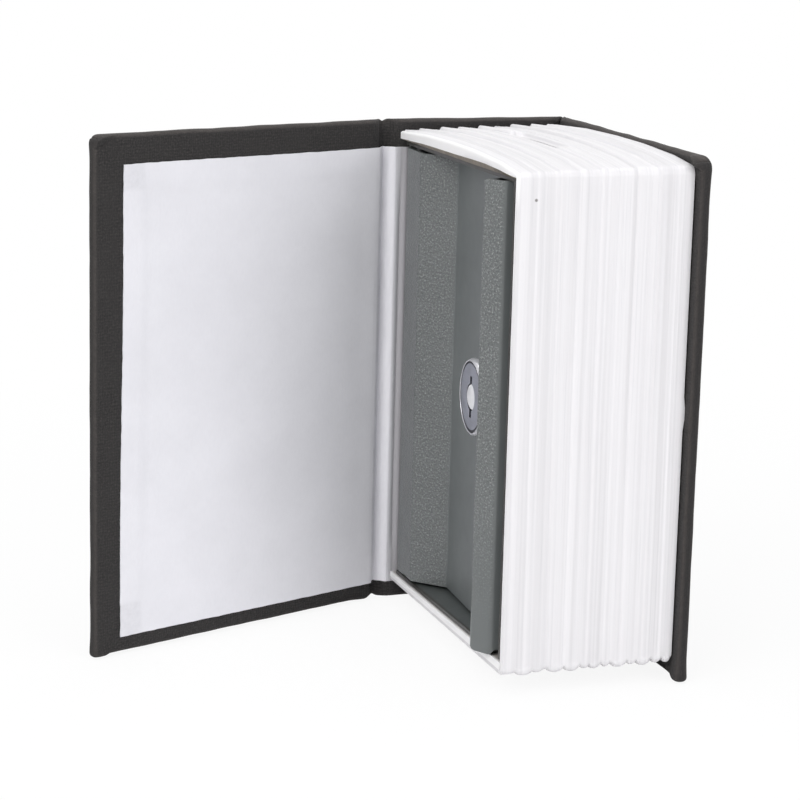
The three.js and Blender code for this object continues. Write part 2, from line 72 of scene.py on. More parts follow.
PAGE_CORNER = 1.2
SLOT_X, SLOT_Y = (21.0, 46.0), (18.5, 21.5)
HINGE = (4.6955, 3.1)
AJAR = -4.0
SHEET = 0.8
DOOR_Z = (8.4, 109.1)
LOCK = (36.3, 4.4, 58.4)
# The box's front edge, in millimetres of the frame, and its head, in millimetres of the book
BOX_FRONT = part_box("box_body")[0].y / MM
BOX_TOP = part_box("box_body")[1].z / MM + 0.02
# A dark speck moulded into the fore-edge
SPECK = (72.5, 4.4, 106.4)


# Camera, at the photo's viewing angle
def camera():
    azimuth, elevation, roll = (math.radians(a) for a in (70.506, 12.379, 1.429))
    level = math.cos(elevation)
    back = Vector((math.sin(azimuth) * level, -math.cos(azimuth) * level, math.sin(elevation)))
    right = Vector((math.cos(azimuth), math.sin(azimuth), 0.0))
    up = back.cross(right)
    r = right * math.cos(roll) + up * math.sin(roll)
    u = up * math.cos(roll) - right * math.sin(roll)
    data = bpy.data.cameras.new("camera")
    data.lens, data.sensor_width = 113.57, 36.0
    data.clip_start, data.clip_end = 0.01, 20.0
    cam = in_scene(bpy.data.objects.new("camera", data))
    place = (0.513390, -0.234365, 0.176683)
    cam.matrix_world = Matrix([(r[i], u[i], back[i], place[i]) for i in range(3)] + [(0, 0, 0, 1)])
    bpy.context.scene.camera = cam


def in_scene(obj):
    bpy.context.scene.collection.objects.link(obj)
    return obj


camera()


# Materials
def srgb(r, g, b):
    def linear(c):
        c /= 255.0
        return c / 12.92 if c <= 0.04045 else ((c + 0.055) / 1.055) ** 2.4
    return (linear(r), linear(g), linear(b), 1.0)


class Graph:
    """The node tree of a material or a world."""
    def __init__(self, owner):
        owner.use_nodes = True
        self.owner, self.tree = owner, owner.node_tree
        self.shader = self.tree.nodes.get("Principled BSDF")

    def node(self, kind, inputs=None, **settings):
        n = self.tree.nodes.new(kind)
        for key, value in settings.items():
            setattr(n, key, value)
        for key, value in (inputs or {}).items():
            self.put(n.inputs[key], value)
        return n

    def put(self, socket, value):
        if isinstance(value, bpy.types.NodeSocket):
            self.tree.links.new(value, socket)
        else:
            socket.default_value = value

    def coords(self):
        return self.node("ShaderNodeTexCoord").outputs["Object"]

    def flat(self):
        """The mesh's own flat coordinates, in millimetres."""
        return self.node("ShaderNodeAttribute", attribute_name="flat").outputs["Vector"]

    def value(self, attribute):
        return self.node("ShaderNodeAttribute", attribute_name=attribute).outputs["Fac"]

    def mapping(self, vector, scale):
        return self.node("ShaderNodeMapping", {"Vector": vector, "Scale": scale}).outputs[0]

    def axes(self, vector):
        return self.node("ShaderNodeSeparateXYZ", {0: vector}).outputs

    def distance(self, vector, place):
        return self.node("ShaderNodeVectorMath", {0: vector, 1: place}, operation="DISTANCE").outputs["Value"]

    def noise(self, vector, scale, detail=2.0, rough=0.5):
        return self.node("ShaderNodeTexNoise", {"Vector": vector, "Scale": scale, "Detail": detail,
                                                "Roughness": rough}).outputs["Fac"]

    def voronoi(self, vector, scale):
        return self.node("ShaderNodeTexVoronoi", {"Vector": vector, "Scale": scale}).outputs["Distance"]

    def wave(self, vector, scale, distortion, direction, detail, detail_scale):
        return self.node("ShaderNodeTexWave", {
            "Vector": vector, "Scale": scale, "Distortion": distortion, "Detail": detail,
            "Detail Scale": detail_scale}, bands_direction=direction).outputs["Fac"]

    def math(self, operation, a, b):
        return self.node("ShaderNodeMath", {0: a, 1: b, 2: 0.0}, operation=operation).outputs[0]

    def add(self, a, b):
        return self.math("ADD", a, b)

    def times(self, a, b):
        return self.math("MULTIPLY", a, b)

    def ramp(self, fac, *stops):
        n = self.node("ShaderNodeValToRGB", {"Fac": fac})
        elements = n.color_ramp.elements
        while len(elements) < len(stops):
            elements.new(0.5)
        for element, (place, colour) in zip(elements, stops):
            element.position, element.color = place, colour
        return n.outputs["Color"]

    def remap(self, value, low, high, to_low=0.0, to_high=1.0):
        return self.node("ShaderNodeMapRange", {"Value": value, "From Min": low, "From Max": high,
                                                "To Min": to_low, "To Max": to_high}, clamp=True).outputs[0]

    def mix(self, fac, a, b, blend="MIX"):
        return self.node("ShaderNodeMix", {0: fac, 6: a, 7: b}, data_type="RGBA", blend_type=blend).outputs[2]

    def bump(self, height, distance, strength):
        return self.node("ShaderNodeBump", {"Height": height, "Distance": distance, "Strength": strength}).outputs[0]

    def finish(self, colour, rough, normal=None, **plain):
        for key, value in (("Base Color", colour), ("Roughness", rough), ("Normal", normal)):
            if value is not None:
                self.put(self.shader.inputs[key], value)
        for key, value in plain.items():
            self.shader.inputs[key.replace("_", " ")].default_value = value
        return self.owner


def new_graph(name):
    return Graph(bpy.data.materials.new(name))


def cloth_material():
    g = new_graph("book_cloth")
    p = g.flat()
    threads = g.add(g.wave(p, 0.52, 5.5, "X", 3.0, 1.6), g.wave(p, 0.47, 5.5, "Y", 3.0, 1.4))
    grain = g.noise(p, 1.9, 5.0, 0.72)
    broad = g.noise(p, 0.09, 3.0, 0.6)
    specks = g.voronoi(p, 1.5)
    tone = g.add(g.times(grain, 0.85), g.times(threads, 0.06))
    colour = g.ramp(tone, (0.34, srgb(33, 32, 32)), (0.5, srgb(49, 47, 47)), (0.68, srgb(72, 69, 67)))
    colour = g.mix(g.remap(broad, 0.35, 0.7, 0.0, 0.3), colour, srgb(58, 56, 55))
    edge = g.value("wear")
    worn_and_top_lit = g.times(edge, g.remap(g.noise(p, 0.9, 3.0, 0.6), 0.25, 0.7, 0.35, 0.9))
    # Wear lightens the arrises, and painted top light lightens the faces that look up
    colour = g.mix(worn_and_top_lit, colour, srgb(92, 86, 83))
    # Painted shade darkens the covers' fore-edge faces
    colour = g.mix(g.value("dull"), colour, srgb(36, 34, 34))
    height = g.add(g.times(threads, 0.18), g.times(grain, 1.2))
    height = g.add(height, g.times(specks, 0.4))
    rough = g.remap(grain, 0.3, 0.7, 0.72, 0.92)
    return g.finish(colour, rough, g.bump(height, 0.00012, 0.9), Sheen_Weight=0.05, Sheen_Roughness=0.5,
                    Specular_IOR_Level=0.28)


def paper_material():
    g = new_graph("endpaper")
    p = g.flat()
    fibre = g.noise(g.mapping(p, (1.0, 0.35, 1.0)), 1.6, 5.0, 0.7)
    cloud = g.noise(p, 0.06, 3.0, 0.55)
    colour = g.ramp(cloud, (0.3, srgb(236, 235, 240)), (0.7, srgb(242, 241, 246)))
    colour = g.mix(g.remap(fibre, 0.42, 0.75, 0.0, 0.10), colour, srgb(205, 203, 210))
    stain = g.value("stain")
    blotches = g.times(stain, g.remap(g.noise(p, 0.55, 4.0, 0.7), 0.35, 0.75, 0.3, 1.0))
    colour = g.mix(blotches, colour, srgb(212, 211, 216))
    # Painted shade darkens the spine paper beside and past its fold
    colour = g.mix(g.value("soil"), colour, srgb(178, 176, 180))
    rough = g.remap(fibre, 0.3, 0.7, 0.48, 0.62)
    return g.finish(colour, rough, g.bump(fibre, 0.00004, 0.6), Specular_IOR_Level=0.4)


def page_material():
    g = new_graph("page_plastic")
    p = g.flat()
    groove = g.value("groove")
    place = g.axes(p)
    # Painted highlight: the front of the head rim is whitened
    rim = g.times(g.remap(place["Y"], 0.3, 1.0, 1.0, 0.0), g.remap(place["Z"], 104.0, 110.0))
    broad = g.noise(g.mapping(p, (0.01, 1.0, 0.006)), 0.55, 2.0, 0.6)
    leaf = g.noise(g.mapping(p, (0.02, 1.0, 0.012)), 2.1, 3.0, 0.6)
    fine = g.noise(g.mapping(p, (0.05, 1.0, 0.03)), 9.0)
    lines = g.remap(leaf, 0.30, 0.42, 0.32, 0.0)
    tone = g.ramp(broad, (0.36, srgb(221, 219, 221)), (0.6, srgb(233, 231, 233)))
    # Page lines, and painted shade in the grooves between page edges, darken the plastic
    colour = g.mix(g.math("MAXIMUM", groove, lines), tone, srgb(200, 200, 204))
    colour = g.mix(rim, colour, srgb(250, 249, 249))
    speck = g.remap(g.distance(p, SPECK), 0.22, 0.42, 0.8, 0.0)
    colour = g.mix(speck, colour, srgb(96, 90, 86))
    # Painted shade, warm grey-brown, on the shell's inner surfaces
    shade = g.ramp(g.noise(p, 0.4, 3.0, 0.6), (0.35, srgb(100, 91, 80)), (0.65, srgb(126, 116, 102)))
    colour = g.mix(g.value("inside"), colour, shade)
    grain = g.noise(p, 3.0)
    height = g.add(g.times(leaf, 0.8), g.times(fine, 0.4))
    rough = g.remap(grain, 0.3, 0.7, 0.34, 0.44)
    return g.finish(colour, rough, g.bump(height, 0.00007, 0.7), Specular_IOR_Level=0.45)


def paint_material(name, inner=False):
    """Pebbled paint. Inside the box it is calmer, and painted shade darkens it all over and turns it nearly black
    along the front edge.
    """
    g = new_graph(name)
    p = g.mapping(g.coords(), (1000, 1000, 1000)) if inner else g.flat()
    calm = 0.85 if inner else g.value("calm")
    uneven = g.noise(p, 1.1, 3.0, 0.65)
    pebble = g.math("MINIMUM", g.voronoi(p, 1.7), 0.6)
    grit = g.noise(p, 2.3, 2.0, 0.7)
    rough_share = g.remap(calm, 0.0, 0.9, 1.0, 0.0)
    height = g.times(pebble, g.remap(uneven, 0.3, 0.7, -1.3, -0.35))
    height = g.add(height, g.times(grit, 0.55))
    cloud = g.noise(p, 0.05, 3.0, 0.6)
    colour = g.ramp(cloud, (0.3, srgb(97, 101, 101)), (0.7, srgb(105, 109, 109)))
    # Painted glints lighten the rough paint, and painted shade darkens the grit's low spots
    painted_glint = g.times(g.remap(grit, 0.54, 0.68, 0.0, 0.75), rough_share)
    pit_shade = g.times(g.remap(grit, 0.46, 0.34, 0.0, 0.6), rough_share)
    colour = g.mix(pit_shade, g.mix(painted_glint, colour, srgb(168, 170, 168)), srgb(66, 70, 70))
    if inner:
        # Painted shade: the whole inside is darkened, and nearly black along the front edge
        deep = g.math("SUBTRACT", g.axes(p)["Y"], BOX_FRONT)
        colour = g.mix(1.0, colour, srgb(204, 206, 205), "MULTIPLY")
        colour = g.mix(g.remap(deep, 0.2, 0.9, 0.9, 0.0), colour, srgb(46, 43, 39))
    else:
        colour = g.mix(g.value("dark"), colour, srgb(66, 63, 58))
    rough = g.remap(g.noise(p, 0.25), 0.3, 0.7, 0.29, 0.34)
    return g.finish(colour, rough, g.bump(height, 0.0003, rough_share), Specular_IOR_Level=0.6)


def metal_material(name, colour, rough, spots=None, solid=0.0):
    g = new_graph(name)
    p = g.coords()
    lines = g.noise(g.mapping(p, (1, 1, 40)), 320.0, 3.0, 0.6)
    cloud = g.noise(p, 260.0)
    dark = tuple(c * 0.8 for c in colour[:3]) + (1,)
    tone = g.ramp(cloud, (0.3, dark), (0.7, colour))
    if spots:
        tone = g.mix(g.remap(g.noise(p, 900.0, 3.0, 0.7), 0.55, 0.7, 0.0, 0.5), tone, spots)
    polish = g.value("polish")
    tone = g.mix(polish, tone, srgb(228, 228, 232))
    # Painted shade, nearly black, where the dark value is set
    tone = g.mix(g.value("dark"), tone, srgb(28, 28, 30))
    even = g.times(g.remap(lines, 0.3, 0.7, rough * 0.8, rough * 1.25), g.remap(polish, 0.0, 1.0, 1.0, 0.5))
    return g.finish(tone, even, g.bump(lines, 0.00001, 0.5), Metallic=1.0 - solid)


def board_material():
    g = new_graph("binders_board")
    p = g.coords()
    fibre = g.noise(g.mapping(p, (1, 1, 0.4)), 900.0, 4.0, 0.7)
    layer = g.wave(p, 420.0, 3.0, "Y", 2.0, 2.0)
    tone = g.add(g.times(fibre, 0.8), g.times(layer, 0.2))
    colour = g.ramp(tone, (0.3, srgb(118, 106, 92)), (0.7, srgb(150, 138, 122)))
    return g.finish(colour, g.remap(fibre, 0.3, 0.7, 0.85, 0.95), g.bump(fibre, 0.00005, 0.7))


CLOTH_MAT = cloth_material()
PAPER_MAT = paper_material()
PAGE_MAT = page_material()
PAINT_MAT = paint_material("pebbled_paint")
BOX_MAT = paint_material("painted_box", inner=True)
PLATED_MAT = metal_material("plated_metal", srgb(170, 172, 183), 0.42, solid=0.35)
BRIGHT_MAT = metal_material("bright_metal", srgb(226, 226, 230), 0.2, solid=0.1)
# Painted shade: the plug, seen only through the keyway and window, is darkened
PLUG_MAT = metal_material("plug_core", srgb(66, 67, 74), 0.42, solid=0.35)
# Painted reflection: the shutter is near-white and mostly not metallic, standing in for the white surroundings it
# reflects
SHUTTER_MAT = metal_material("frosted_shutter", srgb(246, 246, 248), 0.38, solid=0.7)
BRASS_MAT = metal_material("stamped_brass", srgb(182, 148, 86), 0.3, spots=srgb(140, 104, 52))
BOARD_MAT = board_material()


# Mesh helpers. Every mesh is written in book millimetres and carries its own flat coordinates in
# millimetres, which its material reads, so that the grain stays put when the piece bends.
def build(name, points, faces, material, flat=None, values=None, sharp=40.0):
    points = np.asarray(points, float)
    me = bpy.data.meshes.new(name)
    me.from_pydata((points * MM + np.array(ORIGIN)).tolist(), [], [list(map(int, f)) for f in faces])
    me.validate()
    flat = points if flat is None else np.asarray(flat, float)
    me.attributes.new("flat", "FLOAT_VECTOR", "POINT").data.foreach_set("vector", flat.astype(np.float32).ravel())
    for key, value in (values or {}).items():
        me.attributes.new(key, "FLOAT", "POINT").data.foreach_set("value", np.asarray(value, np.float32))
    me.materials.append(material)
    me.shade_smooth()
    mark_sharp(me, sharp)
    return in_scene(bpy.data.objects.new(name, me))


def mark_sharp(me, angle):
    me.set_sharp_from_angle(angle=math.radians(angle))


def outward(obj, merge=None, sliver=None):
    """Turns a closed mesh's faces outwards, once points that lie within merge are joined."""
    bm = bmesh.new()
    bm.from_mesh(obj.data)
    if merge:
        bmesh.ops.remove_doubles(bm, verts=bm.verts, dist=merge)
    if sliver:
        bmesh.ops.dissolve_degenerate(bm, dist=sliver, edges=bm.edges)
    bmesh.ops.recalc_face_normals(bm, faces=bm.faces)
    bm.to_mesh(obj.data)
    bm.free()
    return obj


def apply_modifiers(obj, sharp):
    """Makes the modifiers part of the mesh, and marks its sharp edges again."""
    bpy.context.view_layer.update()
    made = bpy.data.meshes.new_from_object(obj.evaluated_get(bpy.context.evaluated_depsgraph_get()))
    obj.modifiers.clear()
    obj.data = made
    mark_sharp(made, sharp)


def thicken(obj, thickness):
    """Gives a sheet its thickness in the mesh itself, to both sides."""
    skin = obj.modifiers.new("thickness", "SOLIDIFY")
    skin.thickness, skin.offset = thickness * MM, 0
    apply_modifiers(obj, 50)


def cut_with(obj, cutters, sharp):
    for index, cutter in enumerate(cutters):
        hole = obj.modifiers.new("cut_%d" % index, "BOOLEAN")
        hole.object, hole.solver = cutter, "EXACT"
    apply_modifiers(obj, sharp)
    for cutter in cutters:
        bpy.data.objects.remove(cutter)


def break_edges(obj, width, angle):
    """A narrow bevel, width in millimetres, on edges that turn by more than the angle."""
    edge = obj.modifiers.new("edge", "BEVEL")
    edge.width, edge.segments, edge.limit_method, edge.angle_limit = width * MM, 2, "ANGLE", math.radians(angle)


def grid(rows, columns, closed=False, rings=False, base=0):
    """Quads between neighbouring rows of points. If closed, the last row meets the first one, and
    if each row is a ring, its last point meets its first one."""
    def at(i, k):
        return base + i % rows * columns + k % columns
    return [(at(i, k), at(i, k + 1), at(i + 1, k + 1), at(i + 1, k))
            for i in range(rows if closed else rows - 1) for k in range(columns if rings else columns - 1)]


def drum(steps, rows=2, base=0):
    """The faces between rings of points, and those that close both ends."""
    last = base + (rows - 1) * steps
    return [*grid(rows, steps, rings=True, base=base), tuple(range(base, base + steps))[::-1],
            tuple(range(last, last + steps))]


def circle(steps):
    """The cosine and sine of each step round a circle."""
    return [(math.cos(t), math.sin(t)) for t in (2 * math.pi * i / steps for i in range(steps))]


def block_of(x, y, z):
    """The corners of a block, in the order that BLOCK_FACES reads."""
    return [(a, b, c) for c in z for b in y for a in x]


BLOCK_FACES = [(0, 1, 3, 2), (4, 6, 7, 5), (0, 4, 5, 1), (2, 3, 7, 6), (0, 2, 6, 4), (1, 5, 7, 3)]


def along_line(line):
    """How far each point lies along the line."""
    return np.concatenate([[0], np.cumsum(np.linalg.norm(np.diff(line, axis=0), axis=1))])


def normals_of(line):
    tangent = np.gradient(line, axis=0)
    tangent /= np.linalg.norm(tangent, axis=1)[:, None]
    return np.stack([-tangent[:, 1], tangent[:, 0]], axis=1)


def noise_at(x, y, z, scale, seed=0.0):
    return noise.noise(Vector((x / scale + seed, y / scale - 2.3 * seed, z / scale + 0.7 * seed)))


def smooth(t):
    t = min(max(t, 0.0), 1.0)
    return t * t * (3 - 2 * t)


def hump(x, centre, width):
    """A bell curve, 1 at its centre."""
    return math.exp(-((x - centre) / width) ** 2)


def turned(centre, degrees):
    """Local (u, v) to book (x, y), u along the turned x axis."""
    c, s = math.cos(math.radians(degrees)), math.sin(math.radians(degrees))
    return lambda u, v, z: (centre[0] + u * c - v * s, centre[1] + u * s + v * c, z)


def stations(low, high, step, round_low=0.0, round_high=0.0, extra=()):
    """Places from low to high about step apart, closer where an edge is rounded."""
    arcs = [math.tan(math.radians(a)) for a in (0, 12, 24, 36, 45)]
    start = [low + round_low * a for a in arcs] if round_low else [low]
    end = [high - round_high * a for a in arcs] if round_high else [high]
    stops = sorted({start[-1], end[-1], *(e for e in extra if start[-1] < e < end[-1])})
    middle = []
    for a, b in zip(stops, stops[1:]):
        n = max(1, round((b - a) / step))
        middle += [a + (b - a) * i / n for i in range(n + 1)]
    return sorted({round(v, 5) for v in [*start, *middle, *end]})


# Book cloth over a board: a thin skin with rounded edges and turn-ins, open at its joint side
EDGE_ROUND = 1.05
BOARD_TAIL, BOARD_CHAMFER = 1.25, 0.25
FRONT_CORNER, BACK_CORNER = 2.1, 3.4
FOLD_STEP = 0.6
SWELL_REACH, FOLD_WIDTH = 2.6, 0.35


def wrap(name, place, width, inner, is_spine, seed, corner_swell, tail_lift, head_rise=0.0, nub=0.0,
         corner=0.0, lobe_size=0.4):
    far = width - REACH if is_spine else width
    r = EDGE_ROUND
    close = [] if is_spine else [r + 0.45 * i for i in range(1, 12)]
    near_u = () if is_spine else (far - TURN_IN, far - TURN_IN - FOLD_STEP, *(far - d for d in close))
    us = stations(REACH, far, 1.6, 0.0, 0.0 if is_spine else r, near_u)
    turns = (TURN_IN, TURN_IN + FOLD_STEP, COVER_HEIGHT - TURN_IN, COVER_HEIGHT - TURN_IN - FOLD_STEP)
    zs = stations(0.0, COVER_HEIGHT, 1.6, r, r, (*turns, *close, *(COVER_HEIGHT - d for d in close)))
    vs = stations(0.0, COVER_THICK, 0.5, r, r)
    index, points, flat, wear, dull, faces = {}, [], [], [], [], []

    def rounded_corner(u, z):
        """The cloth is drawn round the board's head corner."""
        du, dz = u - (far - corner), z - (COVER_HEIGHT - corner)
        if is_spine or du <= 0 or dz <= 0:
            return u, z
        share = max(du, dz) / math.hypot(du, dz)
        return far - corner + du * share, COVER_HEIGHT - corner + dz * share

    def gather(p, n, u, v, z):
        """The cloth gathered at the cover's two free corners, with its folds at the head."""
        for corner_z, at_head in ((0.0, False), (COVER_HEIGHT, True)):
            du, dz = far - u, abs(z - corner_z)
            swell = corner_swell * math.exp(-(du * du + dz * dz) / (2 * SWELL_REACH ** 2))
            p.y += swell * (1 if v > COVER_THICK / 2 else -0.4) * abs(n.y)
            p.x += 0.35 * swell * max(n.x, 0)
            if v > COVER_THICK * 0.6 and not at_head:
                fold = math.exp(-((du - dz * 0.8 - 1.0) ** 2) / (2 * FOLD_WIDTH ** 2))
                p.y -= 0.22 * fold * math.exp(-(du + dz) / 6.0)
            if v > COVER_THICK * 0.4 and at_head:
                slant = dz + 0.35 * du
                lobe = lobe_size * hump(slant, 1.4, 0.3 + 0.6 * lobe_size) * smooth((7.0 - du) / 3.0)
                step = 0.32 * hump(slant, 3.1, 0.3) * smooth((6.0 - du) / 3.0)
                p.y += (lobe - step) * smooth((v / COVER_THICK - 0.4) / 0.5)

    def moved(u, v, z):
        core = Vector((u if is_spine else min(u, far - r), min(max(v, r), COVER_THICK - r),
                       min(max(z, r), COVER_HEIGHT - r)))
        d = Vector((u, v, z)) - core
        n = d.normalized() if d.length > 1e-6 else Vector((0, 0, 0))
        p = core + n * r
        p.x, p.z = rounded_corner(p.x, p.z)
        fade = smooth((u - REACH) / 5.0) * (smooth((far - u) / 5.0) if is_spine else 1.0)
        p += n * fade * (0.07 * noise_at(u, v, z, 9.0, seed) + 0.035 * noise_at(u, v, z, 2.6, seed + 5))
        edge_z = max(0.0, 1 - min(z, COVER_HEIGHT - z) / 4.0)
        p.z += fade * edge_z * 0.16 * noise_at(u, 0, z * 0.02, 7.0, seed + 9)
        if not is_spine:
            p.x += fade * max(0.0, 1 - (far - u) / 4.0) * 0.14 * noise_at(0, 3, z, 8.0, seed + 4)
        # The tail edge runs a little above the shelf and the folded corner reaches it
        if z < COVER_HEIGHT / 2:
            p.z += tail_lift * smooth(1 - z / 5.0) * (1.0 if is_spine else fade * smooth((far - u - nub) / 1.5))
        p.z += head_rise * (u - REACH) / (far - REACH) * smooth((z - 60.0) / 50.0)
        arris = (2 * abs(n.y) * math.hypot(n.x, n.z)) ** 2
        if not is_spine:
            gather(p, n, u, v, z)
            arris *= smooth(math.hypot(far - u, COVER_HEIGHT - z) / 4.0)
        # The wear on the arrises, with painted top light added on the faces that look up
        arris = max(arris * (0.55 if z > 2 else 0.4), 0.6 * max(n.z, 0.0) ** 2)
        # The last value is painted shade on the faces of the fore-edge
        return p, arris, 0.0 if is_spine else 0.45 * max(n.x, 0.0) ** 2

    def vertex(*key):
        if key not in index:
            u, v, z = us[key[0]], vs[key[1]], zs[key[2]]
            p, arris, fore_edge_shade_share = moved(u, v, z)
            index[key] = len(points)
            points.append(place(p.x, inner * p.y, p.z))
            near = min(z, COVER_HEIGHT - z, *([] if is_spine else [far - u]))
            flat.append((u + v * (0.7 if near > 1 else 1.3), z + v * 0.9, seed * 40.0 + (40 if v > 1 else 0)))
            wear.append(arris)
            dull.append(fore_edge_shade_share)
        return index[key]

    def quad(*corners):
        ids = [vertex(*c) for c in corners]
        faces.append(ids[::-1] if inner < 0 else ids)

    nu, nv, nz = len(us) - 1, len(vs) - 1, len(zs) - 1
    for iu in range(nu):
        for iz in range(nz):
            quad((iu, 0, iz), (iu + 1, 0, iz), (iu + 1, 0, iz + 1), (iu, 0, iz + 1))
            middle_u, middle_z = (us[iu] + us[iu + 1]) / 2, (zs[iz] + zs[iz + 1]) / 2
            folded = middle_z < TURN_IN or middle_z > COVER_HEIGHT - TURN_IN
            if folded or (not is_spine and middle_u > far - TURN_IN):
                quad((iu, nv, iz), (iu, nv, iz + 1), (iu + 1, nv, iz + 1), (iu + 1, nv, iz))
    for iu in range(nu):
        for iv in range(nv):
            quad((iu, iv, 0), (iu, iv + 1, 0), (iu + 1, iv + 1, 0), (iu + 1, iv, 0))
            quad((iu, iv, nz), (iu + 1, iv, nz), (iu + 1, iv + 1, nz), (iu, iv + 1, nz))
    if not is_spine:
        for iv in range(nv):
            for iz in range(nz):
                quad((nu, iv, iz), (nu, iv + 1, iz), (nu, iv + 1, iz + 1), (nu, iv, iz + 1))
    obj = build(name, points, faces, CLOTH_MAT, flat, {"wear": wear, "dull": dull})
    skin = obj.modifiers.new("cloth_thickness", "SOLIDIFY")
    skin.thickness, skin.offset = CLOTH * MM, -1
    return obj


front_place = turned((SPINE_X, FRONT_Y), OPEN_ANGLE)
back_place = turned((SPINE_X, BACK_Y), 0.0)
spine_place = turned((SPINE_X, BACK_Y), -90.0)

front_wrap = wrap("front_cover_cloth", front_place, FRONT_WIDTH, 1, False, 1.0, 0.5, 0.4, 0.65, 3.0, FRONT_CORNER)
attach(front_wrap, "front_cover")
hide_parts("front_cover_wrap")
back_wrap = wrap("back_cover_cloth", back_place, BACK_WIDTH, -1, False, 2.0, 0.7, 0.75, 0.0, 2.2, BACK_CORNER, 1.1)
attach(back_wrap, "case")
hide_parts("back_cover_wrap")
spine_cloth = wrap("spine_cloth", spine_place, SPINE_WIDTH, 1, True, 3.0, 0.0, 0.0)
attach(spine_cloth, "spine")
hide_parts("spine_wrap")


def cover_board(name, place, width, inner, corner):
    """A cover's board, its edges broken and its head corner rounded to suit the cloth."""
    inset = CLOTH + GLUE
    far, head = width - inset, COVER_HEIGHT - inset
    r = corner - inset
    arc = [(far - r + r * math.cos(t), head - r + r * math.sin(t)) for t in np.radians(np.arange(0, 91, 10))]
    outline = [(REACH, BOARD_TAIL), (far, BOARD_TAIL), *arc, (REACH, head)]
    middle = np.array([(REACH + far) / 2, (BOARD_TAIL + head) / 2])
    top = COVER_THICK - inset
    levels = ((inset, 1), (inset + BOARD_CHAMFER, 0), (top - BOARD_CHAMFER, 0), (top, 1))
    points = []
    for v, broken in levels:
        for u, z in outline:
            away = np.sign(np.array([u, z]) - middle) * BOARD_CHAMFER * broken
            points.append(place(u - away[0], inner * v, z - away[1]))
    obj = outward(build(name, points, drum(len(outline), len(levels)), BOARD_MAT))
    return obj


front_board = cover_board("front_board", front_place, FRONT_WIDTH, 1, FRONT_CORNER)
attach(front_board, "front_cover")
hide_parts("front_cover_board")
back_board = cover_board("back_board", back_place, BACK_WIDTH, -1, BACK_CORNER)
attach(back_board, "case")
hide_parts("back_cover_board")


# Cloth and paper across a crease. The path runs from side a round the crease to side b, with the
# inside of the case on its left.
def joint_profiles(centre, angle_a, angle_b):
    a, b, middle = (turned(centre, t) for t in (angle_a, angle_b, (angle_a + angle_b) / 2))
    half = math.radians(abs(angle_b - angle_a) / 2)

    def at(side, reach, inset):
        if side == "m":
            return middle(inset / max(math.sin(half), 0.3), 0, 0)[:2]
        return (a(reach, inset, 0) if side == "a" else b(reach, -inset, 0))[:2]
    return at


def spline(points, count):
    """A smooth line through the points, with about count steps."""
    pts = [np.array(p, float) for p in points]
    pts = [2 * pts[0] - pts[1], *pts, 2 * pts[-1] - pts[-2]]
    out = []
    spans = len(pts) - 3
    for i in range(spans):
        p0, p1, p2, p3 = pts[i:i + 4]
        n = max(2, round(count / spans))
        for k in range(n + (i == spans - 1)):
            t = k / n
            out.append(0.5 * (2 * p1 + (p2 - p0) * t + (2 * p0 - 5 * p1 + 4 * p2 - p3) * t * t
                              + (3 * p1 - p0 - 3 * p2 + p3) * t ** 3))
    return np.array(out)


def joint_cloth(name, centre, angle_a, angle_b, seed):
    at = joint_profiles(centre, angle_a, angle_b)

    def line(sides, middle):
        """The crease's line: (reach, inset) on side a, the fold, and the same on side b."""
        return spline([*(at("a", *s) for s in sides), at("m", 0, middle), *(at("b", *s) for s in sides[::-1])], 30)

    outer = line([(REACH, 0), (2.3, 0.1), (1.1, 0.28)], 0.25)
    gap = line([(REACH, COVER_THICK), (2.5, 2.1), (1.5, 1.05)], 0.72) - outer
    count = len(outer)
    thick = np.linalg.norm(gap, axis=1)
    r = np.minimum(EDGE_ROUND, thick / 2)

    def rounding(z, sign):
        """Rows of (share of the gap, height) over the head or the tail."""
        arcs = [math.radians(t) for t in (0, 22, 45, 67, 90)]
        out = [(r * (1 - math.cos(t)) / thick, z - sign * r * (1 - math.sin(t))) for t in arcs]
        return out + [(1 - share, height) for share, height in reversed(out)]

    body_z = [z for z in stations(0.0, COVER_HEIGHT, 2.4) if EDGE_ROUND < z < COVER_HEIGHT - EDGE_ROUND]
    rows = [(0.0, z) for z in body_z] + rounding(COVER_HEIGHT, 1)
    rows += [(1.0, z) for z in reversed(body_z)] + rounding(0.0, -1)[::-1]
    points, flat, wear = [], [], []
    along = along_line(outer)
    for share, z in rows:
        share, z = np.broadcast_to(share, (count,)), np.broadcast_to(z, (count,))
        for k in range(count):
            p = outer[k] + gap[k] * share[k]
            near = min(z[k], COVER_HEIGHT - z[k])
            dip = 0.5 * hump(k / (count - 1), 0.5, 0.1) * smooth(1 - near / 3.0)
            points.append((p[0], p[1], z[k] - (dip if z[k] > COVER_HEIGHT / 2 else -dip)))
            flat.append((along[k], z[k] + share[k] * 2, seed * 40.0 + (40 if share[k] > 0.5 else 0)))
            wear.append(0.5 * math.exp(-near / 0.45))
    total = len(rows)
    faces = grid(total, count, closed=True)
    faces += [[i * count for i in range(total)][::-1], [i * count + count - 1 for i in range(total)]]
    obj = outward(build(name, points, faces, CLOTH_MAT, flat, {"wear": wear}))
    return obj, at


def paper_sheet(name, points, columns, flat, values):
    """A sheet through rows of points, with smooth bends."""
    obj = build(name, points, grid(len(points) // columns, columns), PAPER_MAT, flat, values, 80.0)
    thicken(obj, PAPER)
    return obj


